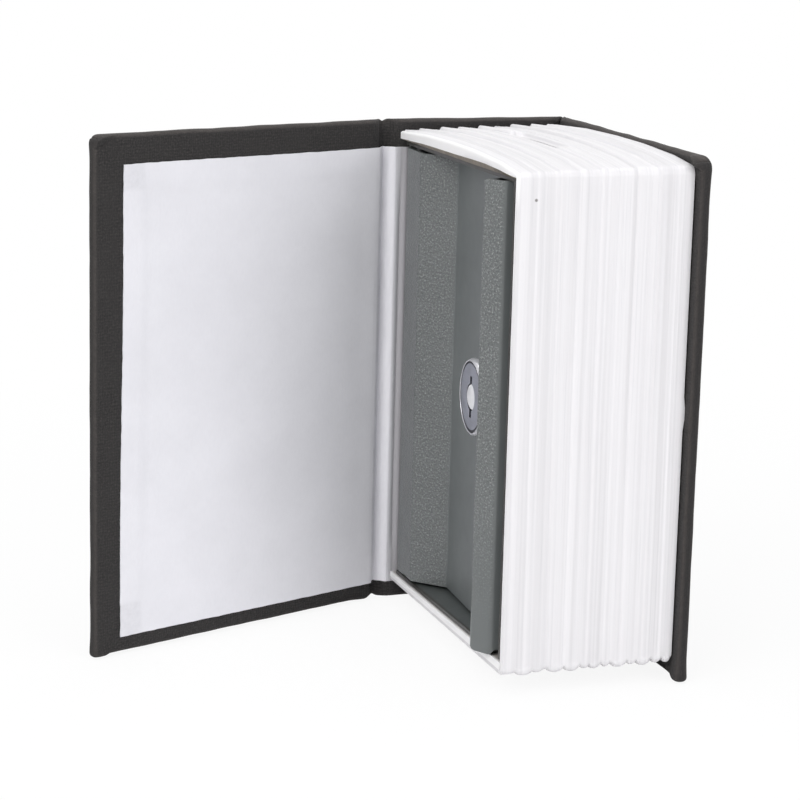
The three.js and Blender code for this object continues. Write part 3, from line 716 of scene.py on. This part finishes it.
def joint_paper(name, at, profile, seed):
    line = spline([at(*p) for p in profile], 42)
    count = len(line)
    zs = stations(PAPER_TAIL, COVER_HEIGHT - PAPER_HEAD, 1.6)
    along, normal = along_line(line), normals_of(line)
    points, flat = [], []
    for z in zs:
        for k in range(count):
            loose = math.sin(math.pi * k / (count - 1)) ** 2
            push = loose * (0.10 * noise_at(along[k], 0, z, 5.0, seed) + 0.22 * noise_at(0, 0, z, 24.0, seed + 2))
            fray = 0.25 * noise_at(along[k], z * 0.01, 0, 1.2, seed + 7) * loose if z in (zs[0], zs[-1]) else 0
            points.append((*(line[k] + normal[k] * push), z + fray))
            flat.append((along[k] + 3, z, seed * 30.0))
    return paper_sheet(name, points, count, flat, {})


def crease(centre, degrees, obj):
    """Bakes the piece's placing into its mesh. The crease's two ends across it are worked out, but not used."""
    half = 2.6
    across = turned(centre, degrees)
    start, end = (Vector(across(u, 0, COVER_HEIGHT / 2)) * MM + ORIGIN for u in (-half, half))
    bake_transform(obj)


PAPER_MID = COVER_THICK + GLUE + PAPER / 2
front_centre, back_centre = (SPINE_X, FRONT_Y), (SPINE_X, BACK_Y)
front_cloth, front_at = joint_cloth("front_crease_cloth", front_centre, OPEN_ANGLE, 90.0, 4.0)
front_paper = joint_paper("front_crease_paper", front_at, [
    ("a", REACH, PAPER_MID), ("a", 2.8, PAPER_MID - 0.02), ("a", 2.1, 2.55), ("a", 1.35, 1.65), ("m", 0, 0.95),
    ("b", 0.6, 1.05), ("b", 1.3, 1.6), ("b", 2.1, 2.3), ("b", 2.8, 2.75), ("b", REACH, PAPER_MID)], 5.0)
for piece in (front_cloth, front_paper):
    crease(front_centre, (OPEN_ANGLE + 90.0) / 2 - 90.0, piece)
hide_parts("front_joint_cloth")
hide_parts("front_joint_paper")

back_cloth, back_at = joint_cloth("back_crease_cloth", back_centre, -90.0, 0.0, 6.0)
back_paper = joint_paper("back_crease_paper", back_at, [
    ("a", REACH, PAPER_MID), ("a", 2.7, 2.35), ("a", 1.8, 1.4), ("m", 0, 1.0),
    ("b", 1.8, 1.4), ("b", 2.7, 2.35), ("b", REACH, PAPER_MID)], 7.0)
for piece in (back_cloth, back_paper):
    crease(back_centre, -45.0 - 90.0, piece)
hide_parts("back_joint_cloth")
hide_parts("back_joint_paper")


# Endpaper on a cover, sunk a little where no cloth is turned in under it
def endpaper(name, place, width, inner, seed):
    far, head = width - PAPER_FORE, COVER_HEIGHT - PAPER_HEAD
    us, zs = stations(REACH, far, 1.0), stations(PAPER_TAIL, head, 1.0)
    edge_u, edge_z = width - TURN_IN, COVER_HEIGHT - TURN_IN

    def trimmed(u, z):
        """The sheet is cut a little out of square: its head rises to the fore-edge, which leans in."""
        along = smooth((u - 5.0) / (far - 5.0))
        return u - 0.8 * along * smooth((z - 20.0) / 70.0), z + 0.4 * along * (z - PAPER_TAIL) / (head - PAPER_TAIL)

    points, flat, stain = [], [], []
    for z in zs:
        for u in us:
            sunk = smooth((edge_u - u) / 1.1) * smooth((z - TURN_IN) / 1.1) * smooth((edge_z - z) / 1.1)
            flutter = 0.05 * noise_at(u, z, 0, 16.0, seed) + 0.02 * noise_at(u, z, 0, 4.0, seed + 3)
            over = 0.08 * smooth((u - edge_u) / 0.7) * max(smooth((TURN_IN - z) / 0.7), smooth((z - edge_z) / 0.7))
            v = PAPER_MID - (0.12 * sunk - flutter) * smooth((u - REACH) / 4.0) + over
            jag_u = 0.12 * noise_at(0, z, 0, 2.2, seed + 8) if u == us[-1] else 0
            jag_z = 0.12 * noise_at(u, 0, 0, 2.2, seed + 6) if z in (zs[0], zs[-1]) else 0
            cut_u, cut_z = trimmed(u, z)
            points.append(place(cut_u + jag_u, inner * v, cut_z + jag_z))
            flat.append((u, z, seed * 30.0))
            stain.append(min(1.0, over * 7.0 + 0.2 * hump(u, edge_u, 0.35)))
    return paper_sheet(name, points, len(us), flat, {"stain": stain})


front_sheet = endpaper("front_pasted_paper", front_place, FRONT_WIDTH, 1, 8.0)
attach(front_sheet, "front_cover")
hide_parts("front_endpaper")
back_sheet = endpaper("back_pasted_paper", back_place, BACK_WIDTH, -1, 9.0)
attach(back_sheet, "case")
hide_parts("back_endpaper")


# Paper on the spine, folded once beside the front crease
def spine_paper():
    far = SPINE_WIDTH - REACH
    us = sorted({*stations(REACH, far - 8, 2.0), *stations(far - 8, far, 0.25)})
    points, flat, soil = [], [], []
    for z in stations(PAPER_TAIL, COVER_HEIGHT - PAPER_HEAD, 1.6):
        for u in us:
            s = far - u
            covered = smooth((z - TURN_IN + 0.5) / 4.0) * smooth((COVER_HEIGHT - TURN_IN + 0.5 - z) / 4.0)
            depth = 0.1 + 0.32 * covered * smooth((COVER_HEIGHT - 6 - z) / 22.0)
            fold = -depth * hump(s, 0.9, 0.45) + 0.25 * hump(s, 2.1, 0.6)
            flutter = 0.05 * noise_at(u, z, 0, 12.0, 21.0) * smooth(s / 1.0) * smooth((u - REACH) / 1.0)
            points.append(spine_place(u, PAPER_MID + fold + flutter, z))
            flat.append((u, z, 500.0))
            # Painted shade near the fold by the front crease
            soil.append(smooth((7.5 - s) / 5.0) * (0.35 + 0.65 * smooth((s - 0.3) / 0.8)))
    return paper_sheet("spine_pasted_paper", points, len(us), flat, {"soil": soil})


spine_sheet = spine_paper()
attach(spine_sheet, "spine")
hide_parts("spine_lining")


# Page block: a shell open to the front, with the edges of many pages moulded round it.
# Where each main ridge starts in depth, and how high it stands
RIDGES = ((0.9, 0.30), (4.4, 0.55), (9.6, 0.70), (13.9, 0.60), (19.0, 0.72), (23.0, 0.45), (27.0, 0.78),
          (32.1, 0.66), (36.2, 0.5))
RIDGE_RISE, RIDGE_FALL = 0.55, 4.6
# Depth, half width and height of the bumps along the tail edge
TAIL_BUMPS = ((1.2, 2.3, 0.45), (5.3, 2.0, 0.95), (8.4, 1.3, 0.55), (12.6, 1.8, 0.85), (16.4, 1.7, 0.95),
              (19.4, 0.9, 0.6), (21.7, 1.3, 0.8), (24.4, 0.7, 0.65), (27.4, 1.7, 0.9), (30.4, 0.9, 0.6),
              (33.2, 1.6, 1.0), (36.3, 1.0, 0.75), (38.8, 1.0, 0.85))
# The head rises from the spine side to the middle and falls to the fore-edge: (x, rise)
CROWN = ((0.0, 0.0), (17.0, 1.05), (32.0, 1.35), (47.0, 1.25), (62.0, 0.6), (71.3, -0.45))
# How far the rim's lower edge arches over the box: (x, rise)
ARCH = ((0.0, -0.05), (17.0, 0.1), (35.0, 0.15), (54.0, 0.5), (66.0, 0.25), (70.5, 0.1))
FRONT_ARRIS, WALL_THINNED = 0.7, 1.3
FUNNEL, FUNNEL_DEPTH = 1.0, 1.1
CHIP_Z = (58.0, 61.8)


def page_profile(y):
    """How far the page edges stand out at depth y: sharp rises that fall slowly, with ripples."""
    out = 0.0
    for start, height in RIDGES:
        d = y - start
        if d >= 0:
            out = max(out, height * smooth(d / RIDGE_RISE) * max(0.0, 1 - max(0.0, d - RIDGE_RISE) / RIDGE_FALL))
    ripple = 0.11 * noise.noise(Vector((y * 1.9, 3.1, 0.4))) + 0.09 * noise.noise(Vector((y * 4.3, 7.7, 0.9)))
    return max(0.0, out + ripple) * smooth(y / 0.7) * smooth((BLOCK_DEPTH - y) / 0.7)


def tail_bumps(y):
    """Rounded bumps of uneven width along the tail edge."""
    out = 0.0
    for centre, half, height in TAIL_BUMPS:
        d = abs(y - centre) / half
        if d < 1:
            out = max(out, height * math.sqrt(1 - d * d))
    return out + 0.06 * noise.noise(Vector((y * 3.1, 1.7, 8.2)))


def between(points, x):
    for (x0, h0), (x1, h1) in zip(points, points[1:]):
        if x <= x1:
            return h0 + (h1 - h0) * (x - x0) / (x1 - x0)
    return points[-1][1]


def page_outline():
    """Round the block from the spine side's tail to its head: outer and inner (x, z), normal, kind."""
    out = []
    flat_x = BLOCK_WIDTH - PAGE_CORNER
    corner_head = BLOCK_HEAD + between(CROWN, flat_x)

    def turn(angles, z, space_z):
        for t in np.radians(angles):
            n = (math.cos(t), math.sin(t))
            out.append(((flat_x + PAGE_CORNER * n[0], z + PAGE_CORNER * n[1]), (SPACE_X, space_z), n, "turn"))

    for x in stations(0.0, flat_x, 2.5):
        out.append(((x, BLOCK_TAIL + 0.8 * (1 - x / flat_x)), (min(x, SPACE_X), SPACE_TAIL), (0, -1), "tail"))
    turn(np.arange(-80, 0, 10), BLOCK_TAIL + PAGE_CORNER, SPACE_TAIL)
    for z in stations(BLOCK_TAIL + PAGE_CORNER, corner_head - PAGE_CORNER, 2.5):
        out.append(((BLOCK_WIDTH, z), (SPACE_X, min(max(z, SPACE_TAIL), SPACE_HEAD)), (1, 0), "fore"))
    turn(np.arange(10, 90, 10), corner_head - PAGE_CORNER, SPACE_HEAD)
    near_slot = [SLOT_X[0] - 0.25 * i for i in range(1, 5)]
    for x in reversed(stations(0.0, flat_x, 1.6, extra=(*SLOT_X, *near_slot))):
        rise = between(CROWN, x)
        out.append(((x, BLOCK_HEAD + rise), (min(x, SPACE_X), SPACE_HEAD + max(0.35 * rise, 0.0)), (0, 1), "head"))
    return out


def page_outside(y, x, z, nx, nz, kind):
    """The outside's point, its flat coordinates and its groove value, the painted shade in the grooves between page
    edges.
    """
    if kind == "head":
        lean = 0.18 + 0.25 * noise_at(x, 0, 0, 25.0, 4.0)
    else:
        lean = 0.35 * (z / COVER_HEIGHT - 0.5) + 0.12 * noise_at(0, 0, z, 30.0, 2.0)
    yy = min(max(y + lean * smooth(y / 2) * smooth((BLOCK_DEPTH - y) / 2), 0), BLOCK_DEPTH)
    head_share = 1.0 - 0.62 * smooth(x / BLOCK_WIDTH)
    up, down = smooth(nz), smooth(-nz)
    rise = page_profile(yy)
    around = (page_profile(max(yy - 0.45, 0)) + page_profile(min(yy + 0.45, BLOCK_DEPTH))) / 2
    out = rise * (0.3 * (1 - up - down) + head_share * up) + tail_bumps(yy) * down
    arris = FRONT_ARRIS * (1 - math.sqrt(max(0.0, 1 - max(0.0, 1 - y / FRONT_ARRIS) ** 2)))
    out -= arris * {"head": 0.4 + 0.6 * smooth(x / 9.0), "tail": 0.35}.get(kind, 1.0)
    if kind == "head" and x < SLOT_X[1] + 0.01:
        gone = math.hypot(max(SLOT_X[0] - x, 0.0), max(y - SLOT_Y[1], 0.0))
        out -= FUNNEL_DEPTH * (1 - smooth(gone / FUNNEL)) * smooth((y - SLOT_Y[0] + 0.01) / 0.02)
    chip = 0.0
    if kind == "fore" and CHIP_Z[0] < z < CHIP_Z[1]:
        chip = 0.32 * smooth((y - BLOCK_DEPTH + 1.5) / 1.5)
    back = 0.75 * y / BLOCK_DEPTH * up
    # Painted shade where the surface lies lower than its neighbours
    groove = min(1.0, max(0.0, (around - rise) * 9.0)) * (0.15 + 0.2 * up)
    return (x + nx * out, y + chip, z + nz * out + back * max(nz, 0)), (x, yy, z), groove


def page_inside(y, x, z, kind):
    """The inside's point, and how much painted shade it takes."""
    if x >= SPACE_X - 0.01:
        x += WALL_THINNED * (1 - smooth((y - 2.0) / 5.0))
    if kind == "head":
        z += (BOX_TOP - z) * smooth(y / 0.4) * (1 - smooth((y - 1.5) / 2.0))
        z += between(ARCH, x) * (1 - smooth(y / 0.4))
    if SLOT_X[0] - 4 < x < SLOT_X[1] + 4 and abs(y - sum(SLOT_Y) / 2) < 5 and z > BLOCK_HEAD / 2:
        shade = 0.0
    elif kind == "head":
        shade = float(y > 0.03)
    else:
        shade = (0.6 if kind == "tail" else 1.0) * smooth((y - 0.3) / 0.5)
    return (x, y, z), shade


def page_block():
    outline = page_outline()
    ys = sorted({round(v, 3) for v in [0.04, 0.1, *np.arange(0, BLOCK_DEPTH + 0.01, 0.2), *SLOT_Y]})
    count, rows = len(outline), len(ys) - 1
    points, flat, groove, inside, faces = [], [], [], [], []
    for y in ys:
        for outer, _, normal, kind in outline:
            point, place, line = page_outside(y, *outer, *normal, kind)
            points.append(point)
            flat.append(place)
            groove.append(line)
            inside.append(0.0)
        for _, inner, _, kind in outline:
            point, shade = page_inside(y, *inner, kind)
            points.append(point)
            flat.append((point[0], y, point[2] + 300))
            groove.append(0.0)
            inside.append(shade)
    ring = 2 * count

    def in_slot(k, j):
        if outline[k][3] != "head" or outline[k + 1][3] != "head":
            return False
        x = (outline[k][0][0] + outline[k + 1][0][0]) / 2
        return SLOT_X[0] < x < SLOT_X[1] and SLOT_Y[0] < (ys[j] + ys[j + 1]) / 2 < SLOT_Y[1]

    def wall(a, b):
        faces.append((a, b, b + count, a + count))

    for j in range(rows):
        for k in range(count - 1):
            a, b = j * ring + k, (j + 1) * ring + k
            if in_slot(k, j):
                continue
            faces.append((a, a + 1, b + 1, b))
            faces.append((a + count, b + count, b + count + 1, a + count + 1))
            beside = ((k - 1, j, a, b), (k + 1, j, a + 1, b + 1), (k, j - 1, a, a + 1), (k, j + 1, b, b + 1))
            for k2, j2, start, end in beside:
                if 0 <= k2 < count - 1 and 0 <= j2 < rows and in_slot(k2, j2):
                    wall(start, end)
        for k in (0, count - 1):
            wall(j * ring + k, (j + 1) * ring + k)
    for j in (0, rows):
        for k in range(count - 1):
            wall(j * ring + k, j * ring + k + 1)
    obj = build("page_block", points, faces, PAGE_MAT, flat, {"groove": groove, "inside": inside}, 55.0)
    outward(obj, 1e-6, 1e-7)
    mark_sharp(obj.data, 55)
    return obj


pages = page_block()
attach(pages, "case")
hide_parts("page_shell")


# Door: one bent sheet with rounded bends, and an ear at each end of its hinge side.
# Its path, from the hinge, goes over the land, the pan and the ridge to the lip.
DOOR_PATH = ((-2.5, 2.5), (-2.5, -2.5), (9.9, -2.5), (16.8, 4.4), (50.7, 4.4), (57.2, -2.5), (62.2, 0.75), (62.3, 4.4))
LAND_END, PAN_START, STRIP_START, LIP_START = 9.9, 16.8, 56.0, 62.05
door_place = turned(HINGE, AJAR)


def rounded(path, radius, steps=6):
    """The path with each corner turned on a radius."""
    pts = [np.array(p, float) for p in path]
    out = [pts[0]]
    for p0, p1, p2 in zip(pts, pts[1:], pts[2:]):
        d0, d1 = (p0 - p1), (p2 - p1)
        l0, l1 = np.linalg.norm(d0), np.linalg.norm(d1)
        d0, d1 = d0 / l0, d1 / l1
        angle = math.acos(np.clip(d0 @ d1, -1, 1))
        reach = min(radius / math.tan(angle / 2), 0.45 * min(l0, l1))
        r = reach * math.tan(angle / 2)
        centre = p1 + (d0 + d1) / np.linalg.norm(d0 + d1) * (r / math.sin(angle / 2))
        a, b = p1 + d0 * reach - centre, p1 + d1 * reach - centre
        for i in range(steps + 1):
            t = math.copysign((math.pi - angle) * i / steps, a[0] * b[1] - a[1] * b[0])
            c, s = math.cos(t), math.sin(t)
            out.append(centre + np.array([a[0] * c - a[1] * s, a[0] * s + a[1] * c]))
    out.append(pts[-1])
    return out


def offset(path, distance):
    pts = [np.array(p, float) for p in path]
    sides = [np.array([-(b - a)[1], (b - a)[0]]) / np.linalg.norm(b - a) for a, b in zip(pts, pts[1:])]
    out = []
    for i, p in enumerate(pts):
        after = sides[min(i, len(sides) - 1)]
        m = sides[max(i - 1, 0)] + after
        out.append(p + m * distance / (m @ after))
    return out


def door_sheet():
    middle = offset(DOOR_PATH, SHEET / 2)
    bends = rounded(middle, 1.0)
    line = [bends[0]]
    for a, b in zip(bends, bends[1:]):
        n = max(1, round(np.linalg.norm(b - a) / (0.5 if a[0] > STRIP_START else 1.6)))
        line += [a + (b - a) * i / n for i in range(1, n + 1)]
    line = np.array(line)
    along, normal = along_line(line), normals_of(line)
    left_bend, ridge = (along[int(np.argmin(np.linalg.norm(line - middle[i], axis=1)))] for i in (1, 5))

    def quarter(d, radius):
        """How much a corner of this radius takes away at distance d from the edge."""
        return radius - math.sqrt(radius ** 2 - (radius - d) ** 2) if 0 <= d < radius else 0.0

    def ends(k):
        """Where the sheet ends below and above at this point of its line."""
        here = line[k][0]
        cut = max(quarter(abs(along[k] - ridge), 1.3), quarter(along[-1] - along[k], 0.6),
                  quarter(along[k] - left_bend, 1.6) * (along[k] > left_bend))
        hang = smooth((1.9 - line[k][1]) / 1.0) * (here > 50.0)
        clear = 0.5 * smooth((56.4 - here) / 1.2) * smooth((here - 1.0) / 2.0)
        rise = 0.6 * smooth((here - STRIP_START) / 1.6)
        return DOOR_Z[0] + max(cut, clear) - hang, DOOR_Z[1] - 0.3 * cut + rise

    def finish(here, z, side):
        """How calm and how dark the paint is."""
        level = 0.18 + 0.35 * smooth((9.4 - here) / 1.0) if here < 16.5 else 0.0
        level += smooth((here - 16.0) / 1.0) * smooth((57.0 - here) / 1.0)
        lower = smooth((50.0 - z) / 44.0) * smooth((here - 50.0) / 4.0)
        lip = smooth((here - LIP_START) / 0.3) * (0.85 if side < 0 else 1)
        land = 0.14 * smooth((LAND_END - here) / 0.8)
        slope = 0.05 * smooth((PAN_START - here) / 0.5)
        return min(1.0, max(level, smooth((here - 61.4) / 0.5), 0.93 * lower)), max(lip, land, slope)

    count = len(line)
    shares = np.array(stations(0.0, 1.0, 0.02))
    points, flat, calm, dark, faces = [], [], [], [], []
    for side in (-1, 1):
        for share in shares:
            for k in range(count):
                low, high = ends(k)
                z = low + (high - low) * share
                x, y = line[k] + normal[k] * side * SHEET / 2
                wobble = 0.05 * noise_at(x, y, z, 22.0, 11.0)
                points.append(door_place(x + normal[k, 0] * wobble, y + normal[k, 1] * wobble, z))
                flat.append((along[k], z, 60.0 + side * 20))
                for values, value in zip((calm, dark), finish(line[k][0], z, side)):
                    values.append(value)
    rows = len(shares)
    half = rows * count
    for j in range(rows - 1):
        for k in range(count - 1):
            a, b = j * count + k, (j + 1) * count + k
            faces.append((a, a + 1, b + 1, b))
            faces.append((half + a, half + b, half + b + 1, half + a + 1))
    sides = [(j * count + k, (j + 1) * count + k) for j in range(rows - 1) for k in (0, count - 1)]
    sides += [(j * count + k, j * count + k + 1) for j in (0, rows - 1) for k in range(count - 1)]
    faces += [(a, b, half + b, half + a) for a, b in sides]
    return points, faces, flat, calm, dark


def ear(z0):
    """A tab round the hinge pin, square to the sheet."""
    steps, hole = 64, 1.15
    x0, x1, y0, y1, r = -2.4, 3.5, -2.4, 2.5, 0.9

    def rim(c, s):
        """The point of the tab's rounded outline in the direction (c, s)."""
        reach = min((x1 if c > 0 else -x0) / max(abs(c), 1e-6), (y1 if s > 0 else -y0) / max(abs(s), 1e-6))
        x, y = reach * c, reach * s
        cx, cy = min(max(x, x0 + r), x1 - r), min(max(y, y0 + r), y1 - r)
        d = math.hypot(x - cx, y - cy)
        return (cx + (x - cx) * r / d, cy + (y - cy) * r / d) if d > r else (x, y)

    points, flat = [], []
    for c, s in circle(steps):
        inner, outer = (hole * c, hole * s), rim(c, s)
        for (x, y), z in ((inner, z0), (outer, z0), (outer, z0 + SHEET), (inner, z0 + SHEET)):
            points.append(door_place(x, y, z))
            flat.append((x, y, z + 100))
    return points, grid(steps, 4, closed=True, rings=True), flat


def door():
    points, faces, flat, calm, dark = door_sheet()
    for z in (DOOR_Z[0] + 0.05, DOOR_Z[1] - SHEET - 0.05):
        ear_points, ear_faces, ear_flat = ear(z)
        faces += [tuple(len(points) + i for i in face) for face in ear_faces]
        points += ear_points
        flat += ear_flat
        calm += [0.5] * len(ear_points)
        dark += [0.0] * len(ear_points)
    obj = outward(build("door_tray", points, faces, PAINT_MAT, flat, {"calm": calm, "dark": dark}))
    cut_with(obj, [cylinder("lock_hole", 7.65, -4.0, 4.0, 64, clamp=6.95)], 40)
    break_edges(obj, 0.16, 60)
    return obj


def lock_point(x, y, z):
    return door_place(LOCK[0] + x, LOCK[1] + y, LOCK[2] + z)


def cylinder(name, radius, y0, y1, steps, clamp=99.0):
    """A cutter round the lock's axis, with flats at the clamp's distance."""
    points = [lock_point(min(max(radius * c, -clamp), clamp), y, radius * s)
              for y in (y0, y1) for c, s in circle(steps)]
    return outward(build(name, points, drum(steps), PLATED_MAT))


def lock_block(name, x, y, z):
    return outward(build(name, [lock_point(*p) for p in block_of(x, y, z)], BLOCK_FACES, PLATED_MAT))


def dress(obj, material, edge=None):
    """Gives a CAD solid its material and, if it is metal, broken edges of this width."""
    obj.data.materials.clear()
    obj.data.materials.append(material)
    if edge:
        obj.data.shade_smooth()
        mark_sharp(obj.data, 30)
        break_edges(obj, edge, 40)


# The box's floor is cut back where the door's strip hangs past it
STRIP_NOTCH = ((57.2, 69.5), (0.0, 6.2), (7.2, 8.3))
PAINT_EDGE, METAL_EDGE = 0.15, 0.05


def steel_box():
    node = frame["nodes"]["box_body"]
    obj = in_scene(bpy.data.objects.new("steel_box", node.data.copy()))
    obj.matrix_world = node.matrix_world
    cut_with(obj, [outward(build("notch", block_of(*STRIP_NOTCH), BLOCK_FACES, BOX_MAT))], 30)
    dress(obj, BOX_MAT, PAINT_EDGE)
    return obj


box = steel_box()
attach(box, "case")
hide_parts("box_body")

door_tray = door()
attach(door_tray, "door")
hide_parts("door_panel")


# Lock face
def turned_body(profile, steps, shape):
    """A closed profile of (radius, depth) turned round the lock's axis, and reshaped point by point."""
    points = [lock_point(*shape(radius * c, y, radius * s)) for c, s in circle(steps) for radius, y in profile]
    return points, grid(steps, len(profile), closed=True, rings=True)


def lock_shell():
    profile = [(5.5, 15.9), (5.5, -1.0), (7.82, -1.0), (7.86, -1.55), (7.95, -1.68), (8.15, -1.7), (8.45, -1.45),
               (8.66, -1.05), (8.7, -0.7), (8.7, -0.1)]
    ring = len(profile)
    radius, thread, pitch = 7.5, 0.35, 0.8
    profile += [(radius, -0.1)]
    y = 3.0
    while y < 15.2:
        profile += [(radius, y), (radius - thread, y + pitch / 2)]
        y += pitch
    profile += [(radius, 15.4), (7.2, 15.9)]

    def flats(x, y, z):
        """Two flats on the barrel keep it from turning in the door."""
        return min(max(x, -6.8), 6.8) if y >= 0.0 and math.hypot(x, z) > 6.9 else x, y, z

    points, faces = turned_body(profile, 96, flats)
    n = len(profile)
    polish = [1.0 if 4 <= i % n < ring else 0.0 for i in range(len(points))]
    # Painted shade: the gap between the plug face and the bezel is nearly black
    dark = [1.0 if i % n in (1, 2, 3) else 0.0 for i in range(len(points))]
    obj = outward(build("lock_barrel", points, faces, PLATED_MAT, values={"polish": polish, "dark": dark}, sharp=32))
    across, along, reach = (-3.2, 3.2), (7.5, 13.2), (0.0, 5.3)
    grooves = (("groove_up", across, along, reach), ("groove_across", reach, along, across))
    cut_with(obj, [lock_block(*groove) for groove in grooves], 32)
    return obj


barrel = lock_shell()
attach(barrel, "door")
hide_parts("lock_body")


# The plug's face as a thin disc over the plug, with the round window and the keyway through it
def plug_face():
    profile = [(0.0, -1.62), (7.3, -1.62), (7.45, -1.58), (7.55, -1.48), (7.55, -1.2), (0.0, -1.2)]
    points, faces = turned_body(profile, 96, lambda x, y, z: (x, y, z + 0.12))
    obj = outward(build("plug_face", points, faces, PLATED_MAT, sharp=32), 1e-7)
    keyway = lock_block("keyway", (-0.65, 0.65), (-3.0, 0.5), (-4.65, 4.65))
    cut_with(obj, [cylinder("window", 3.0, -3.0, 0.5, 72), keyway], 32)
    break_edges(obj, 0.08, 50)
    return obj


face_disc = plug_face()
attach(face_disc, "plug")


# The shutter's boss leans back a little towards its free edge, as one that a key has worn
def shutter_flap():
    pin_x, pin_y, pin_radius, sides = -2.85, 0.35, 0.55, 32
    profile = ((0.0, -1.5), (1.7, -1.52), (2.55, -1.5), (2.8, -1.36), (2.88, -1.1), (2.88, -0.8), (3.25, -0.8),
               (3.25, -0.3), (0.0, -0.3))

    def lean(x, y, z):
        back = (0.1 * (x + 0.6)) if y < -0.95 else 0.0
        return x, min(y + back, -0.85) if y < -0.85 else y, z

    points, faces = turned_body(profile, 72, lean)
    faces += drum(sides, base=len(points))
    points += [lock_point(pin_x + pin_radius * c, pin_y + pin_radius * s, z)
               for z in (-1.2, 1.2) for c, s in circle(sides)]
    obj = outward(build("shutter_flap", points, faces, SHUTTER_MAT, sharp=32), 1e-7)
    return obj


flap = shutter_flap()
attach(flap, "shutter")
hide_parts("key_shutter")

# Materials and edges of the CAD nodes that stay
NODE_MATERIALS = {
    "cloth": (CLOTH_MAT,), "board": (BOARD_MAT,), "paper": (PAPER_MAT,), "page_plastic": (PAGE_MAT,),
    "grey_paint": (BOX_MAT, PAINT_EDGE), "plated_metal": (PLATED_MAT, METAL_EDGE),
    "bright_metal": (BRIGHT_MAT, METAL_EDGE), "brass": (BRASS_MAT, METAL_EDGE),
}
for part in frame["record"]["subparts"]:
    dress(frame["nodes"][part["node"]], *NODE_MATERIALS[part["material_slot"]])
# The plug takes the darkened material, as painted shade in its keyway
frame["nodes"]["lock_plug"].data.materials[0] = PLUG_MAT


def studio_floor():
    """A pale floor that is white to the camera but keeps the object's shadow."""
    size, step = 1.2, 24
    me = bpy.data.meshes.new("floor")
    places = [-size + 2 * size * i / step for i in range(step + 1)]
    me.from_pydata([(x, y, -0.0002) for y in places for x in places], [], grid(step + 1, step + 1))
    floor = in_scene(bpy.data.objects.new("floor", me))
    g = new_graph("pale_floor")
    tint = g.noise(g.coords(), 3.0)
    g.finish(g.ramp(tint, (0.3, (0.93, 0.93, 0.93, 1)), (0.7, (0.95, 0.95, 0.95, 1))), 0.9)
    path = g.node("ShaderNodeLightPath")
    glow = g.node("ShaderNodeEmission", {"Color": (1, 1, 1, 1), "Strength": 1.0})
    cover = g.remap(g.distance(g.coords(), (0.0, -0.03, 0.0)), 0.08, 0.3, 0.9, 1.0)
    seen = g.times(path.outputs["Is Camera Ray"], cover)
    mixer = g.node("ShaderNodeMixShader", {0: seen, 1: g.shader.outputs[0], 2: glow.outputs[0]})
    g.put(g.tree.nodes["Material Output"].inputs[0], mixer.outputs[0])
    me.materials.append(g.owner)


def studio_world():
    """Soft light all round, and white where the camera or a reflection sees past the floor."""
    world = bpy.data.worlds.new("studio")
    bpy.context.scene.world = world
    g = Graph(world)
    g.tree.nodes.clear()
    light = g.node("ShaderNodeBackground", {0: (0.96, 0.98, 1.0, 1), 1: 0.4})
    white = g.node("ShaderNodeBackground", {0: (1, 1, 1, 1), 1: 1.0})
    rays = g.node("ShaderNodeLightPath").outputs
    seen = g.math("MAXIMUM", rays["Is Camera Ray"], rays["Is Glossy Ray"])
    mix = g.node("ShaderNodeMixShader", {0: seen, 1: light.outputs[0], 2: white.outputs[0]})
    g.node("ShaderNodeOutputWorld", {0: mix.outputs[0]})


def lamp(name, place, aim, size, power, colour):
    data = bpy.data.lights.new(name, "AREA")
    data.shape = "RECTANGLE"
    data.size, data.size_y = size
    data.energy, data.color = power, colour
    obj = in_scene(bpy.data.objects.new(name, data))
    obj.location = place
    obj.rotation_mode = "QUATERNION"
    obj.rotation_quaternion = (Vector(aim) - Vector(place)).to_track_quat("-Z", "Y")


studio_floor()
studio_world()
lamp("key", (0.55, -0.75, 0.75), (0, -0.02, 0.06), (0.7, 0.7), 5.7, (1.0, 0.99, 0.98))
lamp("fill", (0.95, 0.35, 0.45), (0, 0, 0.06), (0.6, 0.7), 3.1, (0.98, 0.98, 1.0))
lamp("top", (-0.05, 0.0, 1.0), (0, 0, 0.05), (0.8, 0.8), 4.2, (1, 1, 1))

scene = bpy.context.scene
scene.view_settings.view_transform = "Standard"
